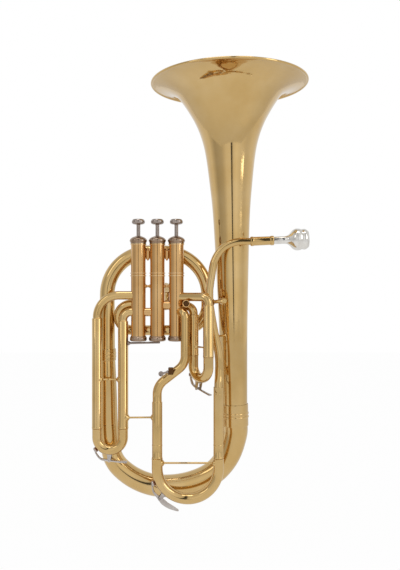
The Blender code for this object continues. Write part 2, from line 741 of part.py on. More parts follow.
RETURN_JOINT_X = ARCH_RIGHT_X - RETURN_BEND_RADIUS - 4.0 * STEP_LENGTH
CROOK_BEND_HALF = (OUTLET_HEIGHT - RETURN_HEIGHT) / 2.0
CROOK_BEND_X = VALVE_X[3] - CASING_RADIUS - OUTLET_REACH


def make_outlet_crook():
    """From the third valve's outlet round a C and back behind all the valves."""
    far = CROOK_BEND_X - CROOK_BEND_HALF
    high = Vector((far, OUTLET_Y, OUTLET_HEIGHT))
    low = Vector((far, BELL_Y, RETURN_HEIGHT))
    corners = [(VALVE_X[3], OUTLET_Y, OUTLET_HEIGHT), high, low,
               (RETURN_JOINT_X - GAP, BELL_Y, RETURN_HEIGHT)]
    half = (high - low).length / 2.0
    route = filleted(corners, [half * 0.995, half * 0.995])
    cope(tube("outlet_crook", route, tapered(route, OUTLET_RADIUS, RETURN_TUBE_RADIUS)), 3)


def make_main_branch():
    """Up behind the first valve, over in the big arch, and down the horn's far side."""
    corners = [branch_place(RETURN_JOINT_X + GAP, RETURN_HEIGHT), branch_place(ARCH_RIGHT_X, RETURN_HEIGHT),
               branch_place(ARCH_RIGHT_X, ARCH_TOP), branch_place(BRANCH_X, ARCH_TOP),
               branch_place(BRANCH_X, BRANCH_JOINT_HEIGHT)]
    route = filleted(corners, [RETURN_BEND_RADIUS, ARCH_BEND_RADIUS, ARCH_BEND_RADIUS])
    radii = tapered(route, RETURN_TUBE_RADIUS, BRANCH_JOINT_RADIUS, MAIN_BRANCH_SWELL)
    tube("main_branch", route, radii, sides=12)


# The bottom bow's path: shares of the way from branch to bell, and of the height up to the branch's end
BOTTOM_BOW_PATH = [(0.007, 0.721), (0.014, 0.438), (0.048, 0.220), (0.166, 0.093), (0.342, 0.014),
                   (0.530, 0.0), (0.715, 0.031), (0.874, 0.104), (0.988, 0.232)]
BOTTOM_BOW_ENDS = (0.0250, 0.0080)
BOTTOM_BOW_SWELL = 0.85


def make_bottom_bow():
    """From the main branch down, under the horn and up to the bell."""
    joint = branch_place(BRANCH_X, BRANCH_JOINT_HEIGHT - GAP)
    meeting = STEM_END + BELL_AXIS * GAP
    width = BELL_X - BRANCH_X
    height = BRANCH_JOINT_HEIGHT - BOW_BOTTOM_HEIGHT
    points = [joint] + [branch_place(BRANCH_X + width * across, BOW_BOTTOM_HEIGHT + height * up)
                        for across, up in BOTTOM_BOW_PATH]
    points += [meeting + BELL_AXIS * back for back in BOTTOM_BOW_ENDS]
    route = smooth_route(points, 2) + [meeting]
    radii = tapered(route, BRANCH_JOINT_RADIUS, STEM_END_RADIUS, BOTTOM_BOW_SWELL)
    tube("bottom_bow", route, radii, sides=LARGE_SIDES)


# Bell outline from the flare to the stem, as shares of the rim's radius and of the bell's length
BELL_OUTLINE = [
    (0.936, 0.0028), (0.857, 0.0080), (0.768, 0.0168), (0.680, 0.0304), (0.611, 0.0505),
    (0.522, 0.0831), (0.438, 0.1194), (0.369, 0.1615), (0.318, 0.2130), (0.274, 0.2972),
    (0.236, 0.3955), (0.208, 0.5500), (0.180, 0.7489)]
FLARE_SECTIONS = 10
BELL_SECTIONS = [(BELL_RIM_RADIUS * wide, BELL_LENGTH * down) for wide, down in BELL_OUTLINE]
BELL_SECTIONS.append((STEM_END_RADIUS, BELL_LENGTH))


def bell_wall(sections):
    """Outer side of a stretch of the bell from top to bottom, then its inner side back up."""
    outer = [Vector((radius, -down)) for radius, down in sections]
    inner = []
    for here, before, after in zip(outer, [outer[0]] + outer, outer[1:] + [outer[-1]]):
        run = (after - before).normalized()
        inner.append(here + Vector((run.y, -run.x)) * BELL_WALL)
    return [tuple(point) for point in outer + inner[::-1]]


def make_bell():
    """The flare with its rolled rim, and the stem that is brazed to it."""
    place = aim(BELL_RIM, -BELL_AXIS)
    flare = BELL_SECTIONS[:FLARE_SECTIONS]
    joint_radius, joint = flare[-1]
    middle = BELL_RIM_RADIUS - RIM_BEAD
    bead = [(middle - RIM_BEAD * 0.9, RIM_BEAD), (middle, RIM_BEAD), (BELL_RIM_RADIUS, 0.0),
            (middle, -RIM_BEAD), (middle - RIM_BEAD, -RIM_BEAD * 0.7)]
    turned("bell", bead + bell_wall(flare), BRASS, place, BELL_STEPS)
    stem = [(joint_radius, joint + GAP)] + BELL_SECTIONS[FLARE_SECTIONS:]
    turned("bell_stem", bell_wall(stem), BRASS, place, BELL_STEPS)


def ring_profile(bore, half, rise):
    """A plain ring with two raised bands near its middle."""
    outer = bore + FERRULE_WALL
    profile = [(outer, half)]
    for height in (BAND_SPACING / 2.0, -BAND_SPACING / 2.0):
        profile += [(outer, height + BAND_FOOT), (outer + rise, height + BAND_TOP),
                    (outer + rise, height - BAND_TOP), (outer, height - BAND_FOOT)]
    return profile + [(outer, -half), (bore, -half), (bore, half)]


def make_ferrules():
    bore = STEM_END_RADIUS / math.cos(math.pi / BELL_STEPS) + 2.0 * GAP
    turned("bell_ferrule", ring_profile(bore, FERRULE_LENGTH / 2.0, BAND_RISE), BRASS,
           aim(STEM_END, -BELL_AXIS), BELL_STEPS)
    bore = BRANCH_JOINT_RADIUS / math.cos(math.pi / TURN_STEPS) + GAP
    turned("branch_ferrule", ring_profile(bore, BRANCH_FERRULE_LENGTH / 2.0, BAND_RISE / 2.0), BRASS,
           Matrix.Translation(branch_place(BRANCH_X, BRANCH_JOINT_HEIGHT)))


make_outlet_crook()
make_main_branch()
make_bottom_bow()
make_bell()
make_ferrules()


# Leadpipe, receiver and mouthpiece

RECEIVER_AXIS = Vector((math.cos(RECEIVER_RISE), 0.0, math.sin(RECEIVER_RISE)))
RECEIVER_START = Vector((RECEIVER_X, LEADPIPE_Y, RECEIVER_HEIGHT))
RECEIVER_MOUTH = RECEIVER_START + RECEIVER_AXIS * RECEIVER_LENGTH


# The leadpipe's path between the receiver and the tuning slide, as (x, height)
LEADPIPE_PATH = [(0.0980, 0.0607), (0.0826, 0.0535), (0.0726, 0.0391), (0.0684, 0.0198),
                 (0.0654, -0.0080), (0.0700, -0.0420), (0.0770, -0.0790), (0.0777, -0.1010)]


def make_leadpipe():
    """From inside the receiver, across the bell's front and down to the tuning slide."""
    start = RECEIVER_START + RECEIVER_AXIS * LEADPIPE_DEPTH
    points = [start, RECEIVER_START] + [(x, LEADPIPE_Y, height) for x, height in LEADPIPE_PATH]
    foot = Vector((TUNING_RIGHT_X, TUNING_Y, TUNING_INLET_TOP))
    points += [foot - DOWN * 0.0040]
    route = smooth_route(points, 2) + [foot + DOWN * (LEADPIPE_SOCKET - 2.0 * STEP_LENGTH)]
    radii = tapered(route, LEADPIPE_START_RADIUS, LEADPIPE_END_RADIUS)
    tube("leadpipe", route, radii, sides=8)
    return route, radii


def make_receiver():
    place = aim(RECEIVER_START, RECEIVER_AXIS)
    pipe_bore = LEADPIPE_START_RADIUS + 2.0 * GAP
    shank_bore = SHANK_RADIUS + GAP
    step = LEADPIPE_DEPTH + GAP
    turned("mouthpiece_receiver", [
        (RECEIVER_RADIUS - 0.0004, RECEIVER_LENGTH), (RECEIVER_RADIUS, RECEIVER_LENGTH - 0.0005),
        (RECEIVER_RADIUS, RECEIVER_LENGTH - 0.0040), (RECEIVER_RADIUS - 0.0005, RECEIVER_LENGTH - 0.0045),
        (RECEIVER_RADIUS - 0.0003, 0.0030), (RECEIVER_RADIUS - 0.0003, 0.0005),
        (RECEIVER_RADIUS - 0.0006, 0.0),
        (pipe_bore, 0.0), (pipe_bore, step), (shank_bore, step + 0.0005), (shank_bore, RECEIVER_LENGTH)],
        BRASS, place)


def make_mouthpiece():
    """Shank, backbore, throat, cup and rounded rim."""
    place = aim(RECEIVER_MOUTH, RECEIVER_AXIS)
    rim = MOUTHPIECE_SHOWN
    floor = rim - CUP_DEPTH
    wide = MOUTHPIECE_RIM_RADIUS
    turned("mouthpiece", [
        (CUP_RADIUS - 0.0002, rim - 0.0007), (CUP_RADIUS + 0.0006, rim), (wide - 0.0030, rim - 0.0008),
        (wide - 0.0014, rim - 0.0036), (wide - 0.0003, rim - 0.0080), (wide, rim - 0.0135),
        (wide - 0.0006, rim - 0.0190), (wide - 0.0023, rim - 0.0225), (wide - 0.0054, rim - 0.0252),
        (SHANK_RADIUS + 0.0009, rim - 0.0276), (SHANK_RADIUS + 0.0001, rim - 0.0310),
        (SHANK_RADIUS - 0.0001, 0.0060), (SHANK_RADIUS, 0.0), (SHANK_RADIUS - 0.0004, -MOUTHPIECE_INSERTED),
        (SHANK_RADIUS - 0.0012, -MOUTHPIECE_INSERTED), (THROAT_RADIUS, floor - 0.0100),
        (THROAT_RADIUS, floor), (CUP_RADIUS * 0.60, floor + 0.0045), (CUP_RADIUS * 0.92, floor + 0.0095)],
        SILVER, place, TURN_STEPS)


leadpipe_route, leadpipe_radii = make_leadpipe()
make_receiver()
make_mouthpiece()


# Stays and braces


def stay(name, start, end, start_gap, end_gap, spaces):
    """A thin rod between two tubes, whose round flanges are shaped to what carries them."""
    start, end = Vector(start), Vector(end)
    run = (end - start).normalized()
    length = (end - start).length - start_gap - end_gap
    rim = FLANGE_LENGTH * 0.5
    profile = [(0.0, length), (FLANGE_RADIUS, length), (FLANGE_RADIUS, length - rim),
               (STAY_RADIUS, length - FLANGE_LENGTH), (STAY_RADIUS, FLANGE_LENGTH),
               (FLANGE_RADIUS, rim), (FLANGE_RADIUS, 0.0), (0.0, 0.0)]
    cut(turned(name, profile, BRASS, aim(start + run * start_gap, run), STAY_STEPS), *spaces)


def round_space(name, route, radii, sides=SPACE_SIDES):
    """The space of a tube and its gap, which shapes what is soldered to it."""
    spaces = [radius + GAP for radius in radii]
    return add_cutter(name, sweep_mesh(name, route, spaces, sides, True))


def straight_space(name, start, end, radius):
    return add_cutter(name, rod_mesh(name, start, end, radius + GAP, SPACE_SIDES))


def upright_space(name, x, y, height, radius):
    """The space of an upright tube near a height."""
    reach = Vector((0.0, 0.0, 4.0 * FLANGE_RADIUS))
    middle = Vector((x, y, height))
    return straight_space(name, middle - reach, middle + reach, radius)


def stay_between(name, left, right, left_radius, right_radius):
    """A stay between two upright tubes."""
    spaces = [upright_space(f"{name}_space_{number}", *place, radius)
              for number, (place, radius) in enumerate(((left, left_radius), (right, right_radius)))]
    stay(name, left, right, left_radius - FLANGE_SINK, right_radius - FLANGE_SINK, spaces)


def make_stays():
    height = THIRD_STAY_HEIGHT
    stay_between("third_slide_stay", (THIRD_INNER_X, THIRD_Y, height),
                 (TUNING_LEFT_X, TUNING_Y, height + STAY_LEAN), SLEEVE_RADIUS, TUNING_SLEEVE_RADIUS)
    pipe_space = round_space("leadpipe_space", leadpipe_route, leadpipe_radii)
    for name, height in (("upper_bell_stay", UPPER_STAY_HEIGHT), ("lower_bell_stay", LOWER_STAY_HEIGHT)):
        down = BELL_RIM_HEIGHT - height
        pipe_point, pipe_radius = leadpipe_at(height)
        stay(name, pipe_point, BELL_RIM + BELL_AXIS * down, pipe_radius - FLANGE_SINK,
             bell_radius_at(down) + GAP, [pipe_space])
    stay_between("third_sleeve_brace", (THIRD_OUTER_X, THIRD_Y, THIRD_BRACE_HEIGHT),
                 (THIRD_INNER_X, THIRD_Y, THIRD_BRACE_HEIGHT), SLEEVE_RADIUS, SLEEVE_RADIUS)
    stay_between("first_sleeve_brace", (FIRST_LEFT_X, FIRST_LEFT_Y, FIRST_BRACE_HEIGHT),
                 (FIRST_RIGHT_X, FIRST_RIGHT_Y, FIRST_BRACE_HEIGHT), SLEEVE_RADIUS, SLEEVE_RADIUS)
    stay_between("tuning_slide_brace", (TUNING_LEFT_X, TUNING_Y, TUNING_BRACE_HEIGHT),
                 (TUNING_RIGHT_X, TUNING_Y, TUNING_BRACE_HEIGHT), TUNING_BOW_RADIUS, TUNING_BOW_RADIUS)


def leadpipe_at(height):
    """Centre and radius of the leadpipe where it comes down past a height."""
    below = [number for number, point in enumerate(leadpipe_route) if point.z < height]
    number = below[0]
    high, low = leadpipe_route[number - 1], leadpipe_route[number]
    share = (high.z - height) / (high.z - low.z)
    return high.lerp(low, share), leadpipe_radii[number - 1]


def bell_radius_at(down):
    for (wide, near), (narrow, far) in zip(BELL_SECTIONS, BELL_SECTIONS[1:]):
        if near <= down <= far:
            return wide + (narrow - wide) * (down - near) / (far - near)
    return STEM_END_RADIUS


def make_valve_stay():
    """A bar from the third slide's inner sleeve, along the underside of two bottom caps."""
    level = CAP_BOTTOM - BOTTOM_CAP_DOME - GAP - VALVE_STAY_RADIUS
    start = Vector((THIRD_INNER_X, THIRD_Y, level - VALVE_STAY_FALL))
    end = Vector((VALVE_STAY_END, 0.0, level))
    run = (end - start).normalized()
    sunk = SLEEVE_RADIUS - FLANGE_SINK
    length = (end - start).length - sunk
    rim = FLANGE_LENGTH * 0.5
    profile = [(0.0, length), (VALVE_STAY_RADIUS - GAP, length), (VALVE_STAY_RADIUS, length - GAP),
               (VALVE_STAY_RADIUS, FLANGE_LENGTH), (FLANGE_RADIUS, rim), (FLANGE_RADIUS, 0.0), (0.0, 0.0)]
    bar = turned("valve_stay", profile, NICKEL, aim(start + run * sunk, run), STAY_STEPS)
    cut(bar, upright_space("valve_stay_space", THIRD_INNER_X, THIRD_Y, start.z, SLEEVE_RADIUS))


# Water keys' arms as (angle, rise above the bow): cup, shoulder, pivot, bend and finger touch
TUNING_KEY_ARM = [(204.0, 0.0040), (215.0, 0.0066), (227.0, 0.0064), (240.0, 0.0076), (256.0, 0.0088)]
THIRD_KEY_ARM = [(221.0, 0.0040), (246.0, 0.0074), (268.0, 0.0070), (286.0, 0.0096), (302.0, 0.0150)]
FIRST_KEY_ARM = [(213.0, 0.0040), (236.0, 0.0078), (260.0, 0.0078), (280.0, 0.0108), (297.0, 0.0168)]


def water_key(name, centre, across, bow_radius, tube_radius, arm):
    """A lever on a saddle outside a bow, whose arm runs from its cup over the pivot to its touch."""
    centre, across = Vector(centre), Vector(across).normalized()
    up = Vector((0.0, 0.0, 1.0))
    side = across.cross(up).normalized()

    def place(angle, distance):
        turn = math.radians(angle)
        return centre + across * (math.cos(turn) * distance) + up * (math.sin(turn) * distance)

    surface = bow_radius + tube_radius
    cup_angle = arm[0][0]
    pivot_angle, pivot_rise = arm[2]
    route = smooth_route([place(angle, surface + rise) for angle, rise in arm], 2)
    radii = [KEY_ARM_RADIUS] * (len(route) - 2) + [KEY_TOUCH_RADIUS, KEY_TOUCH_RADIUS]
    lever = add_piece(name + "_lever", sweep_mesh("arm", route, radii, 8, True), NICKEL)
    pivot_point = place(pivot_angle, surface + pivot_rise)
    half = KEY_BARREL_LENGTH / 2.0
    barrel = add_cutter(name + "_barrel", rod_mesh("barrel", pivot_point - side * half,
                                                   pivot_point + side * half, KEY_BARREL_RADIUS, 10))
    cup = add_cutter(name + "_cup", rod_mesh("cup", place(cup_angle, surface + GAP),
                                             place(cup_angle, surface + KEY_CUP_HEIGHT), KEY_CUP_RADIUS, 12))
    join(lever, barrel, cup)
    ring = [place(pivot_angle + KEY_SPACE_HALF_ANGLE * step / KEY_SPACE_STEPS, bow_radius)
            for step in range(-KEY_SPACE_STEPS, KEY_SPACE_STEPS + 1)]
    space = round_space(name + "_bow_space", ring, [tube_radius] * len(ring))
    cut(lever, space)
    foot = place(pivot_angle, surface - tube_radius * 0.35)
    outward = (pivot_point - foot).normalized()
    turn = Matrix((side.cross(outward), side, outward)).transposed().to_4x4()
    size = (KEY_BARREL_RADIUS * 2.2, KEY_BARREL_LENGTH * 1.15, (pivot_point - foot).length)
    block = box_mesh("saddle", size, (pivot_point + foot) / 2.0, turn)
    saddle = add_piece(name + "_saddle", block, NICKEL, smooth=False)
    slot = [pivot_point - side * KEY_BARREL_LENGTH, pivot_point + side * KEY_BARREL_LENGTH]
    cradle = straight_space(name + "_cradle", slot[0], slot[1], KEY_BARREL_RADIUS)
    room = [radius + GAP for radius in radii]
    cut(saddle, space, cradle, round_space(name + "_arm_space", route, room, 8))
    return pivot_point, side


def make_water_keys():
    down_bow = TUNING_SLEEVE_END - TUNING_BOW_DROP
    middle = ((TUNING_LEFT_X + TUNING_RIGHT_X) / 2.0, TUNING_Y, down_bow)
    pivots = {}
    pivots["tuning"] = water_key(
        "tuning_water_key", middle, (1.0, 0.0, 0.0), (TUNING_RIGHT_X - TUNING_LEFT_X) / 2.0,
        TUNING_BOW_RADIUS, TUNING_KEY_ARM)
    middle = ((THIRD_OUTER_X + THIRD_INNER_X) / 2.0, THIRD_Y, THIRD_SLEEVE_END - THIRD_BOW_DROP)
    pivots["third"] = water_key(
        "third_water_key", middle, (1.0, 0.0, 0.0), (THIRD_INNER_X - THIRD_OUTER_X) / 2.0,
        BOW_RADIUS, THIRD_KEY_ARM)
    left, right = Vector((FIRST_LEFT_X, FIRST_LEFT_Y, 0.0)), Vector((FIRST_RIGHT_X, FIRST_RIGHT_Y, 0.0))
    middle = (left + right) / 2.0 + Vector((0.0, 0.0, FIRST_SLEEVE_END - FIRST_BOW_DROP))
    pivots["first"] = water_key(
        "first_water_key", middle, right - left, (right - left).length / 2.0,
        BOW_RADIUS, FIRST_KEY_ARM)
    for name, (pivot, side) in pivots.items():
        print(name, "water key pivot", [round(value, 5) for value in pivot],
              "axis", [round(value, 4) for value in side])


def make_lyre_holder():
    """A square socket on the crook, with a thumb screw whose flat head faces the front."""
    place = Vector((LYRE_X, TUNING_Y - CROOK_RADIUS, LYRE_HEIGHT))
    centre = place - Vector((0.0, LYRE_SIZE / 2.0, 0.0))
    block = box_mesh("lyre", (LYRE_SIZE, LYRE_SIZE, LYRE_LENGTH), centre)
    holder = add_piece("lyre_holder", block, BRASS, smooth=False)
    socket = LYRE_SIZE - 2.0 * LYRE_WALL
    cut(holder, add_cutter("lyre_socket", box_mesh("socket", (socket, socket, LYRE_LENGTH * 1.2), centre)))
    run = Vector((-math.cos(LYRE_SCREW_FALL), 0.0, -math.sin(LYRE_SCREW_FALL)))
    hole = rod_mesh("hole", centre, centre + run * LYRE_SIZE, LYRE_SHAFT_RADIUS + GAP, 10)
    cut(holder, add_cutter("lyre_screw_hole", hole))
    cut(holder, round_space("lyre_crook_space", crook_route, [CROOK_RADIUS] * len(crook_route)))
    middle = centre + run * LYRE_SCREW_REACH
    shaft = rod_mesh("shaft", centre + run * LYRE_WALL, middle, LYRE_SHAFT_RADIUS, 10)
    half = Vector((0.0, LYRE_HEAD / 2.0, 0.0))
    head = rod_mesh("head", middle - half, middle + half, LYRE_SCREW_RADIUS, TURN_STEPS)
    join(add_piece("lyre_screw", shaft, NICKEL), add_cutter("lyre_screw_head", head))
    print("lyre screw axis through", [round(value, 5) for value in centre],
          "along", [round(value, 5) for value in run])


make_stays()
make_valve_stay()
make_water_keys()
make_lyre_holder()
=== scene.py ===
import json
import math
import bpy
import bmesh
from mathutils import Matrix, Vector


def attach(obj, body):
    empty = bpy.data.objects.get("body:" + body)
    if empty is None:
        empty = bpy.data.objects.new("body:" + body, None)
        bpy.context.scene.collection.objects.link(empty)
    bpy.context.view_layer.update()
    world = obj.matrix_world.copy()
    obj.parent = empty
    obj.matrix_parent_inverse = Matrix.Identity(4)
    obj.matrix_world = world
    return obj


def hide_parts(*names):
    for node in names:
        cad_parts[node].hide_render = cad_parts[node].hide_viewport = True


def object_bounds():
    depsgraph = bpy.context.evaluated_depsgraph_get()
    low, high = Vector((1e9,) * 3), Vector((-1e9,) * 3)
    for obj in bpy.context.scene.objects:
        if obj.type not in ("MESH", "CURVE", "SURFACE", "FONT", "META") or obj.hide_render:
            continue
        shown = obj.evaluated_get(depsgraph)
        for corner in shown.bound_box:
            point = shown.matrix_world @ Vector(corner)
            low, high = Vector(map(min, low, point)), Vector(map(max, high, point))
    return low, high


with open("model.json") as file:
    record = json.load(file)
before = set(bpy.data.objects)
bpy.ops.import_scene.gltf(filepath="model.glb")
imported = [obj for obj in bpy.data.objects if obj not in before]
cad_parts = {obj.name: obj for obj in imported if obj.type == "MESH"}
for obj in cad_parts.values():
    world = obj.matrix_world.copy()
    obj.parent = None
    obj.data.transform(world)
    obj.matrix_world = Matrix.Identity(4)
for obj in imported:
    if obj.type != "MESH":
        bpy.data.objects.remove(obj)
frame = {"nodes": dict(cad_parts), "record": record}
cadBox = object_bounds()
print("frame loaded")

up = Vector((0.0, 0.0, 1.0))
down = -up

# pattern sizes below are in millimetres, and textures are scaled in metres
perMm = 1000.0

# shared by every tube: clearance to the next piece, wall, sides round the tube, angle between rings
tubing = {"gap": 0.0003, "wall": 0.0006, "sides": 48, "ringAngle": math.radians(4.0)}


def hexLinear(code):
    # sRGB hex to the linear colour that Blender's sockets take
    values = [int(code[i:i + 2], 16) / 255.0 for i in (1, 3, 5)]
    return (*[v / 12.92 if v <= 0.04045 else ((v + 0.055) / 1.055) ** 2.4 for v in values], 1.0)


def addNode(tree, kind, settings=None, inputs=None, links=None):
    # settings go on the node, inputs on its sockets, links come from (node, output) pairs
    node = tree.nodes.new(kind)
    for key, value in (settings or {}).items():
        setattr(node, key, value)
    for key, value in (inputs or {}).items():
        node.inputs[key].default_value = value
    for key, (source, output) in (links or {}).items():
        tree.links.new(source.outputs[output], node.inputs[key])
    return node


def addRamp(tree, source, stops):
    # colour stops as (place, colour)
    node = addNode(tree, "ShaderNodeValToRGB", None, None, {"Fac": source})
    ramp = node.color_ramp
    while len(ramp.elements) < len(stops):
        ramp.elements.new(0.5)
    for element, (place, colour) in zip(ramp.elements, stops):
        element.position = place
        element.color = colour
    return node


def addRange(tree, source, reach, to=(0.0, 1.0)):
    # takes a value from one range to another
    return addNode(tree, "ShaderNodeMapRange", None,
                   {"From Min": reach[0], "From Max": reach[1], "To Min": to[0], "To Max": to[1]},
                   {"Value": source})


def addMaths(tree, operation, first, second):
    return addNode(tree, "ShaderNodeMath", {"operation": operation}, None, {0: first, 1: second})


def grey(value):
    return (value, value, value, 1.0)


def startMaterial(name):
    material = bpy.data.materials.new(name)
    material.use_nodes = True
    tree = material.node_tree
    tree.nodes.clear()
    output = addNode(tree, "ShaderNodeOutputMaterial")
    return material, tree, output


def addNoise(tree, place, millimetres, detail, roughness, distortion=0.0):
    return addNode(tree, "ShaderNodeTexNoise", None,
                   {"Scale": perMm / millimetres, "Detail": detail, "Roughness": roughness,
                    "Distortion": distortion}, {"Vector": (place, "Object")})


def metalMaterial(name, look):
    # a bare or plated metal: soft tone changes, polishing marks and a little orange peel or grain
    material, tree, output = startMaterial(name)
    place = addNode(tree, "ShaderNodeTexCoord")
    tone = addNoise(tree, place, look["toneMm"], 3.0, 0.55)
    toneStops = [(0.30, hexLinear(look["deep"])), (0.50, hexLinear(look["colour"])),
                 (0.72, hexLinear(look["light"]))]
    toneRamp = addRamp(tree, (tone, "Fac"), toneStops)
    spots = addNoise(tree, place, look["spotMm"], 2.0, 0.6)
    spotRamp = addRamp(tree, (spots, "Fac"), [(0.66, grey(0.0)), (0.80, grey(look["spotAmount"]))])
    colour = addNode(tree, "ShaderNodeMix", {"data_type": "RGBA"}, {"B": hexLinear(look["spot"])},
                     {"Factor": (spotRamp, "Color"), "A": (toneRamp, "Color")})
    rub = addNoise(tree, place, look["rubMm"], 4.0, 0.65, 0.4)
    rough = addRange(tree, (rub, "Fac"), (0.30, 0.72), (look["roughLow"], look["roughHigh"]))
    peel = addNoise(tree, place, look["peelMm"], 1.0, 0.4)
    bump = addNode(tree, "ShaderNodeBump", None,
                   {"Strength": look["peel"], "Distance": 0.0002}, {"Height": (peel, "Fac")})
    shader = addNode(tree, "ShaderNodeBsdfPrincipled", None,
                     {"Metallic": 1.0, "Coat Weight": look["coat"], "Coat Roughness": look["coatRough"],
                      "Coat IOR": 1.5},
                     {"Base Color": (colour, 2), "Roughness": (rough, "Result"), "Normal": (bump, "Normal")})
    tree.links.new(shader.outputs["BSDF"], output.inputs["Surface"])
    return material


# yellow brass, drawn and spun, buffed to a mirror and sprayed with clear lacquer:
# warm straw reflections that turn amber where brass sees brass, and a faint second gloss from the lacquer
brassLook = {
    "colour": "#D6B478", "deep": "#D0AC6D", "light": "#DCBC84", "toneMm": 45.0,
    "spot": "#B98645", "spotMm": 3.0, "spotAmount": 0.22,
    "rubMm": 9.0, "roughLow": 0.045, "roughHigh": 0.11, "peelMm": 2.6, "peel": 0.05,
    "coat": 0.35, "coatRough": 0.03}

# nickel plate over turned brass, buffed: a grey with a little warmth and soft handling marks
nickelLook = {
    "colour": "#A3978F", "deep": "#978B83", "light": "#B3A79F", "toneMm": 14.0,
    "spot": "#857B74", "spotMm": 1.6, "spotAmount": 0.30,
    "rubMm": 4.0, "roughLow": 0.12, "roughHigh": 0.24, "peelMm": 1.2, "peel": 0.06,
    "coat": 0.0, "coatRough": 0.03}

# silver plate on the mouthpiece, hand polished: the whitest metal here, with a trace of tarnish
silverLook = {
    "colour": "#E9E6E0", "deep": "#DCD7CE", "light": "#F4F2EE", "toneMm": 12.0,
    "spot": "#B9AF9F", "spotMm": 2.2, "spotAmount": 0.20,
    "rubMm": 5.0, "roughLow": 0.06, "roughHigh": 0.14, "peelMm": 1.5, "peel": 0.04,
    "coat": 0.0, "coatRough": 0.03}

# phosphor bronze and steel spring wire, drawn and left bare
wireLook = {
    "colour": "#8E8B86", "deep": "#7D7A75", "light": "#A09C95", "toneMm": 6.0,
    "spot": "#5C5852", "spotMm": 1.0, "spotAmount": 0.35,
    "rubMm": 2.0, "roughLow": 0.22, "roughHigh": 0.36, "peelMm": 0.8, "peel": 0.10,
    "coat": 0.0, "coatRough": 0.03}

# the valve casings are seamless tube of a redder brass, buffed less than the bell
casingLook = {**brassLook, "colour": "#D6AA70", "deep": "#CD9E62", "light": "#DFB67E", "roughLow": 0.05,
              "roughHigh": 0.14}

# the crowns of the rings turned on the casings get a paler brass: a painted highlight where light catches
# them
ringHighlightLook = {**brassLook, "colour": "#F2D3A0", "deep": "#E8C68E", "light": "#FBE2B8", "roughLow": 0.05,
            "roughHigh": 0.10}

# brass painted dark brown on the lyre socket and on the core down inside the stub by the first casing:
# painted shade on the socket and in the stub's hollow
shadeBrassLook = {**brassLook, "colour": "#5E3F22", "deep": "#452C16", "light": "#775230", "roughLow": 0.22,
            "roughHigh": 0.40, "coat": 0.15}

# the valve caps carry thin nickel over brass, coloured warm brown all over: a painted reflection of the brass
# round them
capReflectionLook = {**nickelLook, "colour": "#A78F7A", "deep": "#957D68", "light": "#B8A490", "roughLow": 0.10,
           "roughHigh": 0.20}

# the water keys' nickel is touched less, and brighter
keyLook = {**nickelLook, "colour": "#C2BAB4", "deep": "#A89F99", "light": "#D6D0CB", "roughLow": 0.10}

lacqueredBrass = metalMaterial("lacqueredBrass", brassLook)
# dark brown brass that paints shade on the lyre socket and in the stub's hollow
paintedShadeBrass = metalMaterial("brassPaintedShade", shadeBrassLook)
# warm brown nickel that paints the brass reflected in the valve caps
capNickelWithBrassReflection = metalMaterial("nickelPlatePaintedBrassReflection", capReflectionLook)
casingBrass = metalMaterial("casingBrass", casingLook)
# paler brass that paints the highlight on the crowns of the casing rings
ringHighlightBrass = metalMaterial("ringBrassPaintedHighlight", ringHighlightLook)
nickelPlate = metalMaterial("nickelPlate", nickelLook)
keyNickel = metalMaterial("brightNickelPlate", keyLook)
silverPlate = metalMaterial("silverPlate", silverLook)
springWire = metalMaterial("springWire", wireLook)
slotMaterials = {"lacquered_brass": lacqueredBrass, "nickel_plate": nickelPlate,
                 "silver_plate": silverPlate, "spring_steel": springWire}


def corkMaterial():
    # natural cork, cut and pressed: warm brown, matt, with darker grains and pores about 1 mm apart
    material, tree, output = startMaterial("naturalCork")
    place = addNode(tree, "ShaderNodeTexCoord")
    grain = addNode(tree, "ShaderNodeTexVoronoi", None, {"Scale": perMm}, {"Vector": (place, "Object")})
    ramp = addRamp(tree, (grain, "Distance"), [(0.10, hexLinear("#6E3F2A")), (0.45, hexLinear("#A0694B")),
                                               (0.80, hexLinear("#B98460"))])
    bump = addNode(tree, "ShaderNodeBump", None, {"Strength": 0.4, "Distance": 0.0002},
                   {"Height": (grain, "Distance")})
    shader = addNode(tree, "ShaderNodeBsdfPrincipled", None, {"Roughness": 0.85},
                     {"Base Color": (ramp, "Color"), "Normal": (bump, "Normal")})
    tree.links.new(shader.outputs["BSDF"], output.inputs["Surface"])
    return material


cork = corkMaterial()
nodeSlots = {entry["node"]: entry["material_slot"] for entry in frame["record"]["subparts"]}
for nodeName, nodeObject in frame["nodes"].items():
    nodeObject.data.materials.clear()
    nodeObject.data.materials.append(slotMaterials[nodeSlots[nodeName]])
print("materials made")


def addPiece(name, mesh, nodes, body, slotName="lacquered_brass", sharpAngle=32.0, finish=None):
    # a finished piece that stands for its CAD nodes and rides on their body
    mesh.name = name
    mesh.materials.clear()
    mesh.materials.append(finish or slotMaterials[slotName])
    piece = bpy.data.objects.new(name, mesh)
    bpy.context.scene.collection.objects.link(piece)
    mesh.shade_smooth()
    mesh.set_sharp_from_angle(angle=math.radians(sharpAngle))
    if nodes:
        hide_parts(*nodes)
    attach(piece, body)


def aim(start, direction):
    # a matrix that takes +Z to a direction and the origin to a point
    turn = up.rotation_difference(Vector(direction)).to_matrix().to_4x4()
    return Matrix.Translation(Vector(start)) @ turn


def polar(angle, radius=1.0):
    return Vector((math.cos(math.radians(angle)), math.sin(math.radians(angle)), 0.0)) * radius


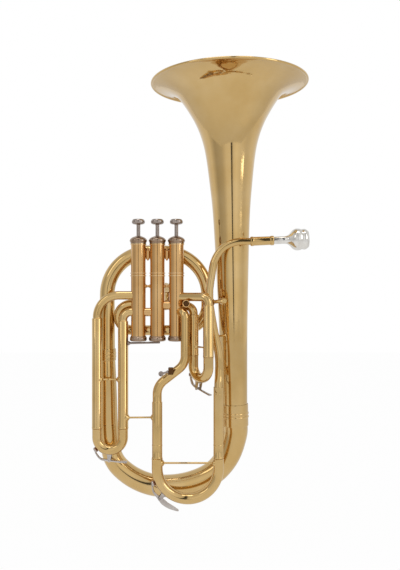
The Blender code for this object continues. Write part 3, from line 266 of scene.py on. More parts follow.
def filleted(corners, bends):
    # straight runs with an arc of the given radius at each inner corner
    route = [Vector(corners[0])]
    for before, corner, after, radius in zip(corners, corners[1:], corners[2:], bends):
        before, corner, after = Vector(before), Vector(corner), Vector(after)
        towards = (before - corner).normalized()
        away = (after - corner).normalized()
        turn = math.pi - towards.angle(away)
        reach = radius * math.tan(turn / 2.0)
        centre = corner + (towards + away).normalized() * (radius / math.cos(turn / 2.0))
        first = corner + towards * reach - centre
        last = corner + away * reach - centre
        count = max(2, math.ceil(turn / tubing["ringAngle"]))
        for step in range(count + 1):
            swing = turn * step / count
            point = centre + (first * math.sin(turn - swing) + last * math.sin(swing)) / math.sin(turn)
            if (point - route[-1]).length > tubing["gap"]:
                route.append(point)
    route.append(Vector(corners[-1]))
    return route


def smoothRoute(points, spans):
    # a smooth curve through the points, with the same number of steps in each span
    knots = [Vector(point) for point in points]
    knots = [knots[0] * 2.0 - knots[1]] + knots + [knots[-1] * 2.0 - knots[-2]]
    route = []
    for number in range(1, len(knots) - 2):
        before, start, end, after = knots[number - 1:number + 3]
        for step in range(spans):
            t = step / spans
            route.append(0.5 * (2.0 * start + (end - before) * t
                                + (2.0 * before - 5.0 * start + 4.0 * end - after) * t * t
                                + (3.0 * start - before - 3.0 * end + after) * t * t * t))
    route.append(knots[-2])
    return route


def lengthsAlong(route):
    total = 0.0
    lengths = [total]
    for start, end in zip(route, route[1:]):
        total += (end - start).length
        lengths.append(total)
    return lengths


def tapered(route, startRadius, endRadius, power=1.0):
    lengths = lengthsAlong(route)
    return [startRadius + (endRadius - startRadius) * (length / lengths[-1]) ** power for length in lengths]


def ringFrames(route):
    # directions along the route, and a side vector carried along it without twist
    runs = []
    for number in range(len(route)):
        before = route[max(number - 1, 0)]
        after = route[min(number + 1, len(route) - 1)]
        runs.append((after - before).normalized())
    side = runs[0].orthogonal().normalized()
    sides = [side]
    for start, end in zip(runs, runs[1:]):
        side = start.rotation_difference(end) @ side
        side = (side - end * side.dot(end)).normalized()
        sides.append(side)
    return runs, sides


def copeRing(ring, run, cope):
    # draws a ring's points along the tube to the wall of the casing that it meets
    centre, reach = cope
    level = Vector((run.x, run.y))
    for vertex in ring:
        flat = Vector((vertex.co.x - centre.x, vertex.co.y - centre.y))
        a, b, c = level.length_squared, flat.dot(level), flat.length_squared - reach * reach
        vertex.co += run * ((-b + math.sqrt(max(b * b - a * c, 0.0))) / a)


def finishMesh(shape, place=None):
    mesh = bpy.data.meshes.new("shape")
    shape.to_mesh(mesh)
    shape.free()
    if place is not None:
        mesh.transform(place)
    return mesh


def bridge(shape, low, high, flipped=False):
    # a band of faces between two rings of the same number of points
    for step in range(len(low)):
        following = (step + 1) % len(low)
        corners = (low[step], low[following], high[following], high[step])
        shape.faces.new(corners[::-1] if flipped else corners)


def tubeMesh(route, radii, sides=None, cope=None, endCope=None):
    # rings round a route with an inner wall; a cope is (axis point, radius) of the casing the tube meets
    sides = sides or tubing["sides"]
    runs, across = ringFrames(route)
    shape = bmesh.new()
    layers = []
    for inset in (0.0, tubing["wall"]):
        rings = []
        for place, run, side, radius in zip(route, runs, across, radii):
            other = run.cross(side)
            ring = []
            for step in range(sides):
                angle = 2.0 * math.pi * step / sides
                offset = (side * math.cos(angle) + other * math.sin(angle)) * (radius - inset)
                ring.append(shape.verts.new(place + offset))
            rings.append(ring)
        if cope:
            copeRing(rings[0], runs[0], cope)
        if endCope:
            copeRing(rings[-1], -runs[-1], endCope)
        layers.append(rings)
    outer, inner = layers
    for rings in layers:
        for low, high in zip(rings, rings[1:]):
            bridge(shape, low, high, flipped=rings is inner)
    bridge(shape, outer[0], inner[0], flipped=True)
    bridge(shape, outer[-1], inner[-1])
    return finishMesh(shape)


def turnedMesh(profile, place=None, steps=96):
    # a closed outline of (radius, height), running down its outer side, turned about its own Z axis
    shape = bmesh.new()
    rings = []
    for radius, height in profile:
        if radius == 0.0:
            rings.append([shape.verts.new((0.0, 0.0, height))])
        else:
            angles = [2.0 * math.pi * step / steps for step in range(steps)]
            rings.append([shape.verts.new((radius * math.cos(angle), radius * math.sin(angle), height))
                          for angle in angles])
    closed = profile[0][0] > 0.0 and profile[-1][0] > 0.0
    for high, low in zip(rings, rings[1:] + (rings[:1] if closed else [])):
        for step in range(steps):
            following = (step + 1) % steps
            if len(high) == 1 and len(low) == 1:
                continue
            if len(high) == 1:
                shape.faces.new((high[0], low[step], low[following]))
            elif len(low) == 1:
                shape.faces.new((high[step], low[0], high[following]))
            else:
                shape.faces.new((high[step], low[step], low[following], high[following]))
    return finishMesh(shape, place)


def joined(meshes):
    shape = bmesh.new()
    for mesh in meshes:
        shape.from_mesh(mesh)
    return finishMesh(shape)


def rounded(profile, radius, steps=4):
    # an open outline with each inner corner rounded off by a small arc
    result = [profile[0]]
    for before, corner, after in zip(profile, profile[1:], profile[2:]):
        b, c, a = Vector(before), Vector(corner), Vector(after)
        reach = min(radius, (b - c).length * 0.45, (a - c).length * 0.45)
        first = c + (b - c).normalized() * reach
        last = c + (a - c).normalized() * reach
        for step in range(steps + 1):
            t = step / steps
            point = first * (1 - t) ** 2 + c * 2 * t * (1 - t) + last * t ** 2
            result.append((point.x, point.y))
    result.append(profile[-1])
    return result


def bandStations(places, radius, rise, half, count=6):
    # stations (distance, radius) of rounded bands standing on a sleeve
    stations = []
    for middle in places:
        for step in range(count + 1):
            angle = math.pi * step / count
            stations.append((middle - half * math.cos(angle), radius + rise * math.sin(angle)))
    return stations


valves = {
    "spacing": 0.0240, "radius": 0.0093, "wall": 0.0010, "top": 0.0665, "bottom": -0.0617,
    # turned rings on the casing: height, rise, half width
    "rings": [(0.0586, 0.0008, 0.0009), (0.0223, 0.0008, 0.0008), (0.0189, 0.0008, 0.0008)],
    "capRadius": 0.0110, "capSkirt": 0.0067, "capThick": 0.0025, "underCap": 0.0014,
    "lowCapRadius": 0.0108, "lowCapSkirt": 0.0046, "lowCapThick": 0.0015, "lowCapDome": 0.0003,
    "stroke": 0.0130, "stem": 0.0024, "buttonThick": 0.0070, "buttonClear": 0.0013,
    "pistonTop": 0.0225, "knuckle": 0.0054, "knuckleHeights": {"1_2": -0.0186, "2_3": -0.0269},
    "spacerMiddle": 0.0463, "tieHeight": 0.0058,
    # the top cap's dome as (radius, depth below its top)
    "capDome": [(0.0036, 0.0), (0.0040, 0.0004), (0.0056, 0.0009), (0.0074, 0.0017), (0.0090, 0.0027),
                (0.0102, 0.0039), (0.0108, 0.0051), (0.0110, 0.0058), (0.0110, 0.0066), (0.0107, 0.0072),
                (0.0101, 0.0076)],
    # the finger button's outline as (radius, depth below its top)
    "buttonShape": [(0.0, 0.0006), (0.0044, 0.0004), (0.0058, 0.0), (0.0068, 0.0004), (0.0077, 0.0015),
                    (0.0083, 0.0030), (0.0083, 0.0042), (0.0078, 0.0054), (0.0066, 0.0063), (0.0048, 0.0067)],
    # a spacer's outline as (radius, height over its middle), above and below its barrel
    "spacerTop": [(0.0, 0.0085), (0.0010, 0.0083), (0.0017, 0.0077), (0.0019, 0.0069), (0.0015, 0.0060),
                  (0.0013, 0.0055), (0.0019, 0.0049)],
    "spacerFoot": [(0.0017, -0.0064), (0.0011, -0.0076), (0.0, -0.0085)]}
valveX = {1: valves["spacing"], 2: 0.0, 3: -valves["spacing"]}
copeRadius = valves["radius"] - valves["wall"] * 0.5


def valveAxis(valve, height=0.0):
    return Vector((valveX[valve], 0.0, height))


def makeCasing(valve):
    radius, inner = valves["radius"], valves["radius"] - valves["wall"]
    top, bottom = valves["top"] - valves["underCap"], valves["bottom"]
    outer = [(radius, top)]
    for height, rise, half in valves["rings"]:
        outer += [(r, -h) for h, r in bandStations([-height], radius, rise, half, 8)]
    outer += [(radius, bottom), (inner, bottom), (inner, top)]
    mesh = turnedMesh(outer, Matrix.Translation(valveAxis(valve)))
    addPiece(f"casingTube{valve}", mesh, [f"valve_casing_{valve}"], "horn", finish=casingBrass)


def makeRingHighlights(valve):
    # a thin band of paler brass round the crown of each turned ring: a painted highlight
    bands = []
    for height, rise, half in valves["rings"]:
        crown, bore = valves["radius"] + rise + 0.0001, valves["radius"] + rise * 0.4
        outline = rounded([(crown, height + half * 0.6), (crown, height - half * 0.6)], 0.0001)
        outline += [(bore, height - half * 0.8), (bore, height + half * 0.8)]
        bands.append(turnedMesh(outline, Matrix.Translation(valveAxis(valve))))
    addPiece(f"casingRingHighlights{valve}", joined(bands), [], "horn", finish=ringHighlightBrass)


def makeCaps(valve):
    # a domed top cap with a plain skirt, and a shallow bottom cap
    place = Matrix.Translation(valveAxis(valve))
    gap = tubing["gap"]
    bore = valves["radius"] + gap
    radius, hole = valves["capRadius"], valves["stem"] + gap
    top = valves["top"] + gap + valves["capThick"]
    low = valves["top"] - valves["capSkirt"]
    seat = valves["top"] - valves["underCap"] + gap
    dome = [(hole, top)] + [(wide, top - depth) for wide, depth in valves["capDome"]]
    dome += [(radius - 0.0009, low + 0.0006), (radius - 0.0011, low)]
    outline = rounded(dome, 0.0003) + [(bore, low), (bore, seat), (hole, seat + 0.0008)]
    # both caps take the warm brown of a painted brass reflection
    addPiece(f"topCap{valve}", turnedMesh(outline, place), [f"top_cap_{valve}"], "horn", "nickel_plate",
             finish=capNickelWithBrassReflection)
    floor = valves["bottom"] - gap
    base = floor - valves["lowCapThick"]
    skirt = valves["bottom"] + valves["lowCapSkirt"]
    radius = valves["lowCapRadius"]
    outline = [(bore, skirt), (radius - 0.0008, skirt), (radius - 0.0008, skirt - 0.0005),
               (radius - 0.0011, skirt - 0.0011), (radius - 0.0002, skirt - 0.0018), (radius, skirt - 0.0024),
               (radius, base + 0.0012), (radius - 0.0012, base), (radius * 0.5, base - valves["lowCapDome"]),
               (0.0, base - valves["lowCapDome"])]
    outline = rounded(outline, 0.0005) + [(0.0, floor), (bore, floor)]
    addPiece(f"bottomCap{valve}", turnedMesh(outline, place), [f"bottom_cap_{valve}"], "horn", "nickel_plate",
             finish=capNickelWithBrassReflection)


def makeButton(valve):
    # a thick round button with a soft edge, a little hollow on top, on a plain stem
    low = valves["top"] + tubing["gap"] + valves["capThick"] + valves["stroke"] + valves["buttonClear"]
    top = low + valves["buttonThick"]
    stem, foot = valves["stem"], valves["pistonTop"] + tubing["gap"]
    outline = [(wide, top - depth) for wide, depth in valves["buttonShape"]]
    outline += [(stem + 0.0009, top - 0.0069), (stem, top - 0.0076), (stem, foot), (0.0, foot)]
    mesh = turnedMesh(rounded(outline, 0.0008), Matrix.Translation(valveAxis(valve)))
    addPiece(f"fingerButton{valve}", mesh, [f"finger_button_{valve}"], f"valve_{valve}", "nickel_plate")


def makeBetweenCasings():
    # the knuckle tubes, the turned spacers near the tops, and a small tie half way
    radius, gap = valves["radius"], tubing["gap"]
    count = 6
    for pair, right, left in (("1_2", 1, 2), ("2_3", 2, 3)):
        height = valves["knuckleHeights"][pair]
        start, end = valveAxis(right, height), valveAxis(left, height)
        route = [start.lerp(end, step / count) for step in range(count + 1)]
        mesh = tubeMesh(route, [valves["knuckle"]] * len(route), cope=(valveAxis(right), copeRadius),
                        endCope=(valveAxis(left), copeRadius))
        addPiece(f"knuckle{pair}", mesh, [f"knuckle_{pair}"], "horn", finish=casingBrass)
        wide = valves["spacing"] / 2.0 - radius - gap * 0.2
        barrel = [(wide - 0.0001, 0.0043), (wide, 0.0036), (wide, -0.0034), (wide - 0.0003, -0.0048)]
        outline = valves["spacerTop"] + barrel + valves["spacerFoot"]
        middle = (valveAxis(right, valves["spacerMiddle"]) + valveAxis(left, valves["spacerMiddle"])) / 2.0
        mesh = turnedMesh(rounded(outline, 0.0003), Matrix.Translation(middle), 48)
        addPiece(f"casingSpacer{pair}", mesh, [f"casing_spacer_{pair}"], "horn", finish=casingBrass)
        tie = [(0.0, radius - 0.0007), (0.0024, radius - 0.0007), (0.0024, radius + 0.0006),
               (0.0018, radius + 0.0011), (0.0015, radius + 0.0017), (0.0015, radius + wide)]
        outline = [(width, -along) for width, along in tie]
        outline += [(width, along - valves["spacing"]) for width, along in reversed(tie[:-1])]
        place = aim(valveAxis(right, valves["tieHeight"]), (1.0, 0.0, 0.0))
        addPiece(f"casingTie{pair}", turnedMesh(rounded(outline, 0.0002), place, 32), [], "horn",
                 finish=casingBrass)


for valveNumber in valveX:
    makeCasing(valveNumber)
    makeRingHighlights(valveNumber)
    makeCaps(valveNumber)
    makeButton(valveNumber)
makeBetweenCasings()
print("valves made")


slides = {
    # radii of the ports, the inner legs, the bows and the sleeves
    "port": 0.0054, "leg": 0.0053, "bow": 0.0062, "sleeve": 0.0065, "tuningLeg": 0.0056,
    "tuningBow": 0.0068, "tuningSleeve": 0.0064,
    # rings on the sleeves, and the length of the small steps in radius
    "ringRise": 0.00025, "ringLength": 0.0012, "bandHalf": 0.0010, "step": 0.0010,
    # how much of each leg stays in its sleeve when the slide is drawn out
    "legHold": 0.0200, "shortHold": 0.0100, "secondHold": 0.0070}


def withSleeve(route, portRadius, sleeve, length, bands=()):
    # a port's route whose last straight run becomes a sleeve with a rounded ring at its mouth
    end = route[-1]
    run = (end - route[-2]).normalized()
    step, ring, rise = slides["step"], slides["ringLength"], slides["ringRise"]
    stations = [(length, portRadius), (length - step * 0.3, portRadius + (sleeve - portRadius) * 0.15),
                (length - step * 0.7, portRadius + (sleeve - portRadius) * 0.85), (length - step, sleeve)]
    stations += [(-along, radius) for along, radius in
                 bandStations([-place for place in bands], sleeve, rise * 0.9, slides["bandHalf"])]
    stations += [(ring + step * 0.5, sleeve), (ring + step * 0.2, sleeve + rise * 0.5),
                 (ring, sleeve + rise * 0.9), (ring - step * 0.3, sleeve + rise), (step * 0.4, sleeve + rise),
                 (step * 0.1, sleeve + rise * 0.7), (0.0, sleeve + rise * 0.4)]
    path = route[:-1] + [end - run * back for back, radius in stations]
    return path, [portRadius] * (len(route) - 1) + [radius for back, radius in stations]


def portTube(name, node, valve, corners, bend):
    # from a casing round one elbow and down to the mouth of the sleeve
    length = corners[1][2] - bend - corners[2][2] - slides["step"]
    path, radii = withSleeve(filleted(corners, [bend]), slides["port"], slides["sleeve"], length)
    addPiece(name, tubeMesh(path, radii, cope=(valveAxis(valve), copeRadius)), [node], "horn")


def slideBow(name, node, body, left, right, out, drop, legLength, legRadius, bowRadius):
    # two plain inner legs, and the wider round bow between them with its end rings
    left, right, out = Vector(left), Vector(right), Vector(out)
    gap, step = tubing["gap"], slides["step"]
    stations = [(-legLength, legRadius), (gap * 0.9, legRadius), (gap, bowRadius - 0.0002),
                (gap + step * 0.3, bowRadius + 0.0002), (gap + step * 1.2, bowRadius + 0.0002),
                (gap + step * 1.5, bowRadius)]
    half = (right - left).length / 2.0
    start = stations[-1][0]
    reach = drop + half
    corners = [left + out * start, left + out * reach, right + out * reach, right + out * start]
    bend = filleted(corners, [half, half])
    route = [left + out * along for along, radius in stations[:-1]] + bend
    route += [right + out * along for along, radius in reversed(stations[:-1])]
    legs = [radius for along, radius in stations[:-1]]
    radii = legs + [bowRadius] * len(bend) + legs[::-1]
    addPiece(name, tubeMesh(route, radii), [node], body)


third = {
    "outerX": -0.0760, "innerX": -0.0432, "y": -0.0010, "sleeveEnd": -0.1734, "upper": -0.0058,
    "lower": -0.0266, "elbow": 0.0274, "innerElbow": 0.0100, "drop": 0.0114, "travel": 0.0550}


def makeThirdSlide():
    for name, node, height, x, bend in (
            ("thirdUpperTube", "third_slide_upper_tube", third["upper"],
             third["outerX"], third["elbow"]),
            ("thirdLowerTube", "third_slide_lower_tube", third["lower"],
             third["innerX"], third["innerElbow"])):
        corners = [(valveX[3], third["y"], height), (x, third["y"], height),
                   (x, third["y"], third["sleeveEnd"])]
        portTube(name, node, 3, corners, bend)
    left = (third["outerX"], third["y"], third["sleeveEnd"])
    right = (third["innerX"], third["y"], third["sleeveEnd"])
    slideBow("thirdBow", "third_slide_bow", "third_slide", left, right, down, third["drop"],
             third["travel"] + slides["legHold"], slides["leg"], slides["bow"])


first = {
    "rightX": 0.0642, "rightY": -0.0250, "leftX": 0.0456, "leftY": -0.0030, "sleeveEnd": -0.0810,
    "upper": -0.0075, "lower": -0.0195, "lowerAngle": 15.0, "elbow": 0.0090, "drop": 0.0130, "travel": 0.0400}


def makeFirstSlide():
    upperAngle = math.degrees(math.atan2(first["rightY"], first["rightX"] - valveX[1]))
    for name, node, angle, height, x, y in (
            ("firstUpperTube", "first_slide_upper_tube", upperAngle, first["upper"],
             first["rightX"], first["rightY"]),
            ("firstLowerTube", "first_slide_lower_tube", first["lowerAngle"], first["lower"],
             first["leftX"], first["leftY"])):
        start = valveAxis(1, height)
        leave = start + polar(angle, valves["radius"])
        corners = [leave * 0.8 + start * 0.2, (x, y, height), (x, y, first["sleeveEnd"])]
        portTube(name, node, 1, corners, first["elbow"])
    left = (first["leftX"], first["leftY"], first["sleeveEnd"])
    right = (first["rightX"], first["rightY"], first["sleeveEnd"])
    slideBow("firstBow", "first_slide_bow", "first_slide", left, right, down, first["drop"],
             first["travel"] + slides["shortHold"], slides["leg"], slides["bow"])


second = {"angle": 78.0, "upper": 0.0035, "lower": -0.0193, "start": 0.0120, "end": 0.0400, "drop": 0.0070,
          "travel": 0.0180}


def makeSecondSlide():
    out = polar(second["angle"])
    ends = []
    for name, node, height in (("secondUpperTube", "second_slide_upper_tube", second["upper"]),
                               ("secondLowerTube", "second_slide_lower_tube", second["lower"])):
        end = valveAxis(2, height) + out * second["end"]
        route = [valveAxis(2, height) + out * valves["radius"] * 0.2, end]
        path, radii = withSleeve(route, slides["port"], slides["sleeve"], second["end"] - second["start"])
        addPiece(name, tubeMesh(path, radii, cope=(valveAxis(2), copeRadius)), [node], "horn")
        ends.append(end)
    slideBow("secondBow", "second_slide_bow", "second_slide", ends[0], ends[1], out, second["drop"],
             second["travel"] + slides["secondHold"], slides["leg"], slides["bow"])


tuning = {
    "leftX": 0.0007, "rightX": 0.0769, "y": -0.0140, "sleeveEnd": -0.2078, "sleeveLength": 0.0705,
    "inletTop": -0.1195, "drop": 0.0125, "travel": 0.0500, "socket": 0.0080, "socketRadius": 0.0063,
    "inletHeight": -0.0265, "crook": 0.0057, "crookClear": 0.0022, "low": -0.1180, "high": -0.0909,
    "bend": 0.0210, "inletBend": 0.0080, "band": 0.0160}


def makeTuningSlide():
    rightTop = Vector((tuning["rightX"], tuning["y"], tuning["inletTop"]))
    rightEnd = Vector((tuning["rightX"], tuning["y"], tuning["sleeveEnd"]))
    leftEnd = Vector((tuning["leftX"], tuning["y"], tuning["sleeveEnd"]))
    length = tuning["inletTop"] - tuning["sleeveEnd"] - tuning["socket"]
    path, radii = withSleeve([rightTop, rightEnd], tuning["socketRadius"], slides["tuningSleeve"], length,
                             bands=[tuning["band"]])
    addPiece("inletSleeve", tubeMesh(path, radii), ["tuning_inlet_sleeve"], "horn")
    x = valveX[1] + valves["radius"] + tuning["crookClear"]
    corners = [valveAxis(1, tuning["inletHeight"]), (x, tuning["y"], tuning["inletHeight"]),
               (x, tuning["y"], tuning["high"]), (tuning["leftX"], tuning["y"], tuning["low"]), leftEnd]
    route = filleted(corners, [tuning["inletBend"], tuning["bend"], tuning["bend"]])
    path, radii = withSleeve(route, tuning["crook"], slides["tuningSleeve"], tuning["sleeveLength"],
                             bands=[tuning["band"]])
    mesh = tubeMesh(path, radii, cope=(valveAxis(1), copeRadius))
    addPiece("outletTube", mesh, ["tuning_outlet_tube"], "horn")
    slideBow("tuningBow", "tuning_slide_bow", "tuning_slide", leftEnd, rightEnd, down, tuning["drop"],
             tuning["travel"] + slides["shortHold"], slides["tuningLeg"], slides["tuningBow"])


makeThirdSlide()
makeFirstSlide()
makeSecondSlide()
makeTuningSlide()
print("slides made")


large = {
    "y": 0.0190, "branchX": -0.0660, "branchJoint": -0.0826, "branchRadius": 0.0100, "bowDrop": 0.0923,
    "archRightX": 0.0633, "archTop": 0.0497, "archBend": 0.0545,
    "returnHeight": -0.0512, "returnBend": 0.0332, "returnRadius": 0.0067, "branchSwell": 0.6,
    "outletY": 0.0068, "outletHeight": -0.0170, "outletReach": 0.0004, "outletRadius": 0.0060,
    # the bottom bow's centre as (share of the way to the bell, share of the way up to the joint)
    "bowPath": [(0.007, 0.721), (0.014, 0.438), (0.048, 0.220), (0.166, 0.093), (0.342, 0.014),
                (0.530, 0.0), (0.715, 0.031), (0.874, 0.104), (0.988, 0.232)],
    "bowEnds": (0.0250, 0.0080), "swell": 0.85}

bell = {
    "x": 0.0919, "rimHeight": 0.2673, "lean": math.radians(0.9), "length": 0.4273, "rimRadius": 0.1015,
    "rimBead": 0.0016, "stemEnd": 0.0164, "wall": 0.0008,
    # the flare as (share of the rim's radius, share of the length below the rim)
    "outline": [(0.936, 0.0028), (0.857, 0.0080), (0.768, 0.0168), (0.680, 0.0304), (0.611, 0.0505),
                (0.522, 0.0831), (0.438, 0.1194), (0.369, 0.1615), (0.318, 0.2130), (0.274, 0.2972),
                (0.236, 0.3955), (0.208, 0.5500), (0.180, 0.7489)]}

bellAxis = Vector((math.sin(bell["lean"]), 0.0, -math.cos(bell["lean"])))
bellRim = Vector((bell["x"], large["y"], bell["rimHeight"]))
stemEnd = bellRim + bellAxis * bell["length"]


def inBellPlane(x, height):
    return Vector((x, large["y"], height))


def makeLargeTubes():
    jointX = large["archRightX"] - large["returnBend"] - 4.0 * slides["step"]
    half = (large["outletHeight"] - large["returnHeight"]) / 2.0
    far = valveX[3] - valves["radius"] - large["outletReach"] - half
    high = Vector((far, large["outletY"], large["outletHeight"]))
    low = Vector((far, large["y"], large["returnHeight"]))
    bend = (high - low).length / 2.0 * 0.995
    route = filleted([(valveX[3], large["outletY"], large["outletHeight"]), high, low,
                      inBellPlane(jointX - tubing["gap"], large["returnHeight"])], [bend, bend])
    radii = tapered(route, large["outletRadius"], large["returnRadius"])
    addPiece("outletCrook", tubeMesh(route, radii, cope=(valveAxis(3), copeRadius)), ["outlet_crook"], "horn")
    right, top = large["archRightX"], large["archTop"]
    corners = [inBellPlane(jointX + tubing["gap"], large["returnHeight"]),
               inBellPlane(right, large["returnHeight"]), inBellPlane(right, top),
               inBellPlane(large["branchX"], top), inBellPlane(large["branchX"], large["branchJoint"])]
    route = filleted(corners, [large["returnBend"], large["archBend"], large["archBend"]])
    radii = tapered(route, large["returnRadius"], large["branchRadius"], large["branchSwell"])
    addPiece("mainBranch", tubeMesh(route, radii), ["main_branch"], "horn")
    meeting = stemEnd + bellAxis * tubing["gap"]
    lowest = stemEnd.z - large["bowDrop"]
    width, height = bell["x"] - large["branchX"], large["branchJoint"] - lowest
    points = [inBellPlane(large["branchX"], large["branchJoint"] - tubing["gap"])]
    points += [inBellPlane(large["branchX"] + width * across, lowest + height * rise)
               for across, rise in large["bowPath"]]
    points += [meeting + bellAxis * back for back in large["bowEnds"]]
    route = smoothRoute(points, 10) + [meeting]
    radii = tapered(route, large["branchRadius"], bell["stemEnd"], large["swell"])
    addPiece("bottomBow", tubeMesh(route, radii, sides=64), ["bottom_bow"], "horn")


def makeBell():
    sections = [(bell["rimRadius"] * wide, bell["length"] * low) for wide, low in bell["outline"]]
    sections.append((bell["stemEnd"], bell["length"]))
    curve = smoothRoute([(radius, -low, 0.0) for radius, low in sections], 8)
    outer = [(point.x, point.y) for point in curve]
    wall = bell["wall"]
    inner = []
    for number in range(len(outer) - 1, -1, -1):
        before, after = outer[max(number - 1, 0)], outer[min(number + 1, len(outer) - 1)]
        run = Vector((after[0] - before[0], after[1] - before[1])).normalized()
        inner.append((outer[number][0] + run.y * wall, outer[number][1] - run.x * wall))
    bead, middle = bell["rimBead"], bell["rimRadius"] - bell["rimBead"]
    roll = [(middle + bead * math.cos(math.radians(angle)), bead * math.sin(math.radians(angle)))
            for angle in range(140, -151, -10)]
    mesh = turnedMesh(roll + outer + inner, aim(bellRim, -bellAxis), 160)
    addPiece("bellBody", mesh, ["bell", "bell_stem"], "horn")


# rises are of the bands, and the sides are those of the frame's own ferrules
ferrules = {"wall": 0.0006, "bandHeight": 0.0022, "bandHalf": 0.0013,
            "bellLength": 0.0280, "bellRise": 0.0008, "bellSides": 28,
            "branchLength": 0.0150, "branchRise": 0.0004, "branchSides": 14}


def makeFerrule(name, node, place, bore, length, rise, steps):
    # a short sleeve over a joint, with two rounded bands about its middle
    outer = bore + ferrules["wall"]
    half = length / 2.0
    outline = [(outer - 0.0003, half), (outer, half - 0.0004)]
    for height in (ferrules["bandHeight"], -ferrules["bandHeight"]):
        for step in range(9):
            angle = math.pi * step / 8.0
            outline.append((outer + rise * math.sin(angle), height + ferrules["bandHalf"] * math.cos(angle)))
    outline += [(outer, 0.0004 - half), (outer - 0.0003, -half), (bore, -half), (bore, half)]
    addPiece(name, turnedMesh(outline, place, steps), [node], "horn")


makeLargeTubes()
makeBell()
# bores as wide as those of the frame's ferrules are at their corners
bellBore = bell["stemEnd"] / math.cos(math.pi / ferrules["bellSides"]) + 2.0 * tubing["gap"]
makeFerrule("bellFerrule", "bell_ferrule", aim(stemEnd, -bellAxis), bellBore, ferrules["bellLength"],
            ferrules["bellRise"], 96)
branchBore = large["branchRadius"] / math.cos(math.pi / ferrules["branchSides"]) + tubing["gap"]
makeFerrule("branchFerrule", "branch_ferrule",
            Matrix.Translation(inBellPlane(large["branchX"], large["branchJoint"])), branchBore,
            ferrules["branchLength"], ferrules["branchRise"], 72)
print("large tubing and bell made")


leadpipe = {
    "y": -0.0110, "startRadius": 0.0044, "endRadius": 0.0054, "depth": 0.0060,
    "receiverX": 0.1169, "receiverHeight": 0.0617, "rise": math.radians(2.4), "receiverLength": 0.0291,
    "receiverRadius": 0.0060,
    "path": [(0.0980, 0.0607), (0.0826, 0.0535), (0.0726, 0.0391), (0.0684, 0.0198), (0.0654, -0.0080),
             (0.0700, -0.0420), (0.0770, -0.0790), (0.0777, -0.1010)]}
receiverAxis = Vector((math.cos(leadpipe["rise"]), 0.0, math.sin(leadpipe["rise"])))
receiverStart = Vector((leadpipe["receiverX"], leadpipe["y"], leadpipe["receiverHeight"]))
receiverMouth = receiverStart + receiverAxis * leadpipe["receiverLength"]

mouthpiece = {
    "shown": 0.0430, "inserted": 0.0200, "rim": 0.0136, "shank": 0.0047, "cup": 0.0088,
    "depth": 0.0150, "throat": 0.0021,
    # the cup's outside as (inset from its widest radius, depth below the rim)
    "outside": [(0.0030, 0.0006), (0.0014, 0.0028), (0.0007, 0.0050), (0.0011, 0.0085), (0.0003, 0.0105),
                (0.0, 0.0135), (0.0002, 0.0160), (0.0017, 0.0190), (0.0042, 0.0215), (0.0066, 0.0238)]}


def makeLeadpipe():
    foot = Vector((tuning["rightX"], tuning["y"], tuning["inletTop"]))
    points = [receiverStart + receiverAxis * leadpipe["depth"], receiverStart]
    points += [Vector((x, leadpipe["y"], height)) for x, height in leadpipe["path"]]
    points += [foot - down * 0.0040]
    route = smoothRoute(points, 10) + [foot + down * (tuning["socket"] - 2.0 * slides["step"])]
    addPiece("leadpipeTube", tubeMesh(route, tapered(route, leadpipe["startRadius"], leadpipe["endRadius"])),
             ["leadpipe"], "horn")


def makeReceiver():
    radius, length = leadpipe["receiverRadius"], leadpipe["receiverLength"]
    bore, pipe = mouthpiece["shank"] + tubing["gap"], leadpipe["startRadius"] + 2.0 * tubing["gap"]
    step = leadpipe["depth"] + tubing["gap"]
    outline = [(bore, length), (radius - 0.0004, length), (radius, length - 0.0005),
               (radius, length - 0.0038), (radius - 0.0006, length - 0.0045), (radius - 0.0004, 0.0040),
               (radius, 0.0034), (radius, 0.0008), (radius - 0.0006, 0.0), (pipe, 0.0)]
    outline = rounded(outline, 0.0004) + [(pipe, step), (bore, step + 0.0005)]
    mesh = turnedMesh(outline, aim(receiverStart, receiverAxis), 64)
    addPiece("receiver", mesh, ["mouthpiece_receiver"], "horn")


def makeMouthpiece():
    rim, wide, shank = mouthpiece["shown"], mouthpiece["rim"], mouthpiece["shank"]
    floor, cup, throat = rim - mouthpiece["depth"], mouthpiece["cup"], mouthpiece["throat"]
    knots = [(cup - 0.0002, rim - 0.0012), (cup + 0.0003, rim - 0.0003), (cup + 0.0012, rim)]
    knots += [(wide - inset, rim - depth) for inset, depth in mouthpiece["outside"]]
    knots += [(shank + 0.0006, rim - 0.0265), (shank, rim - 0.0300), (shank, rim - 0.0360)]
    curve = [(point.x, point.y) for point in smoothRoute([(r, h, 0.0) for r, h in knots], 5)]
    outline = curve + [(shank, 0.0), (shank - 0.0004, -mouthpiece["inserted"]),
                       (shank - 0.0012, -mouthpiece["inserted"]), (throat, floor - 0.0100), (throat, floor)]
    inside = smoothRoute([(throat, floor, 0.0), (cup * 0.60, floor + 0.0045, 0.0),
                          (cup * 0.92, floor + 0.0095, 0.0), (cup - 0.0002, rim - 0.0012, 0.0)], 6)
    outline += [(point.x, point.y) for point in inside[1:-1]]
    addPiece("mouthpieceCup", turnedMesh(outline, aim(receiverMouth, receiverAxis), 96), ["mouthpiece"],
             "mouthpiece", "silver_plate")


makeLeadpipe()
makeReceiver()
makeMouthpiece()
print("leadpipe and mouthpiece made")


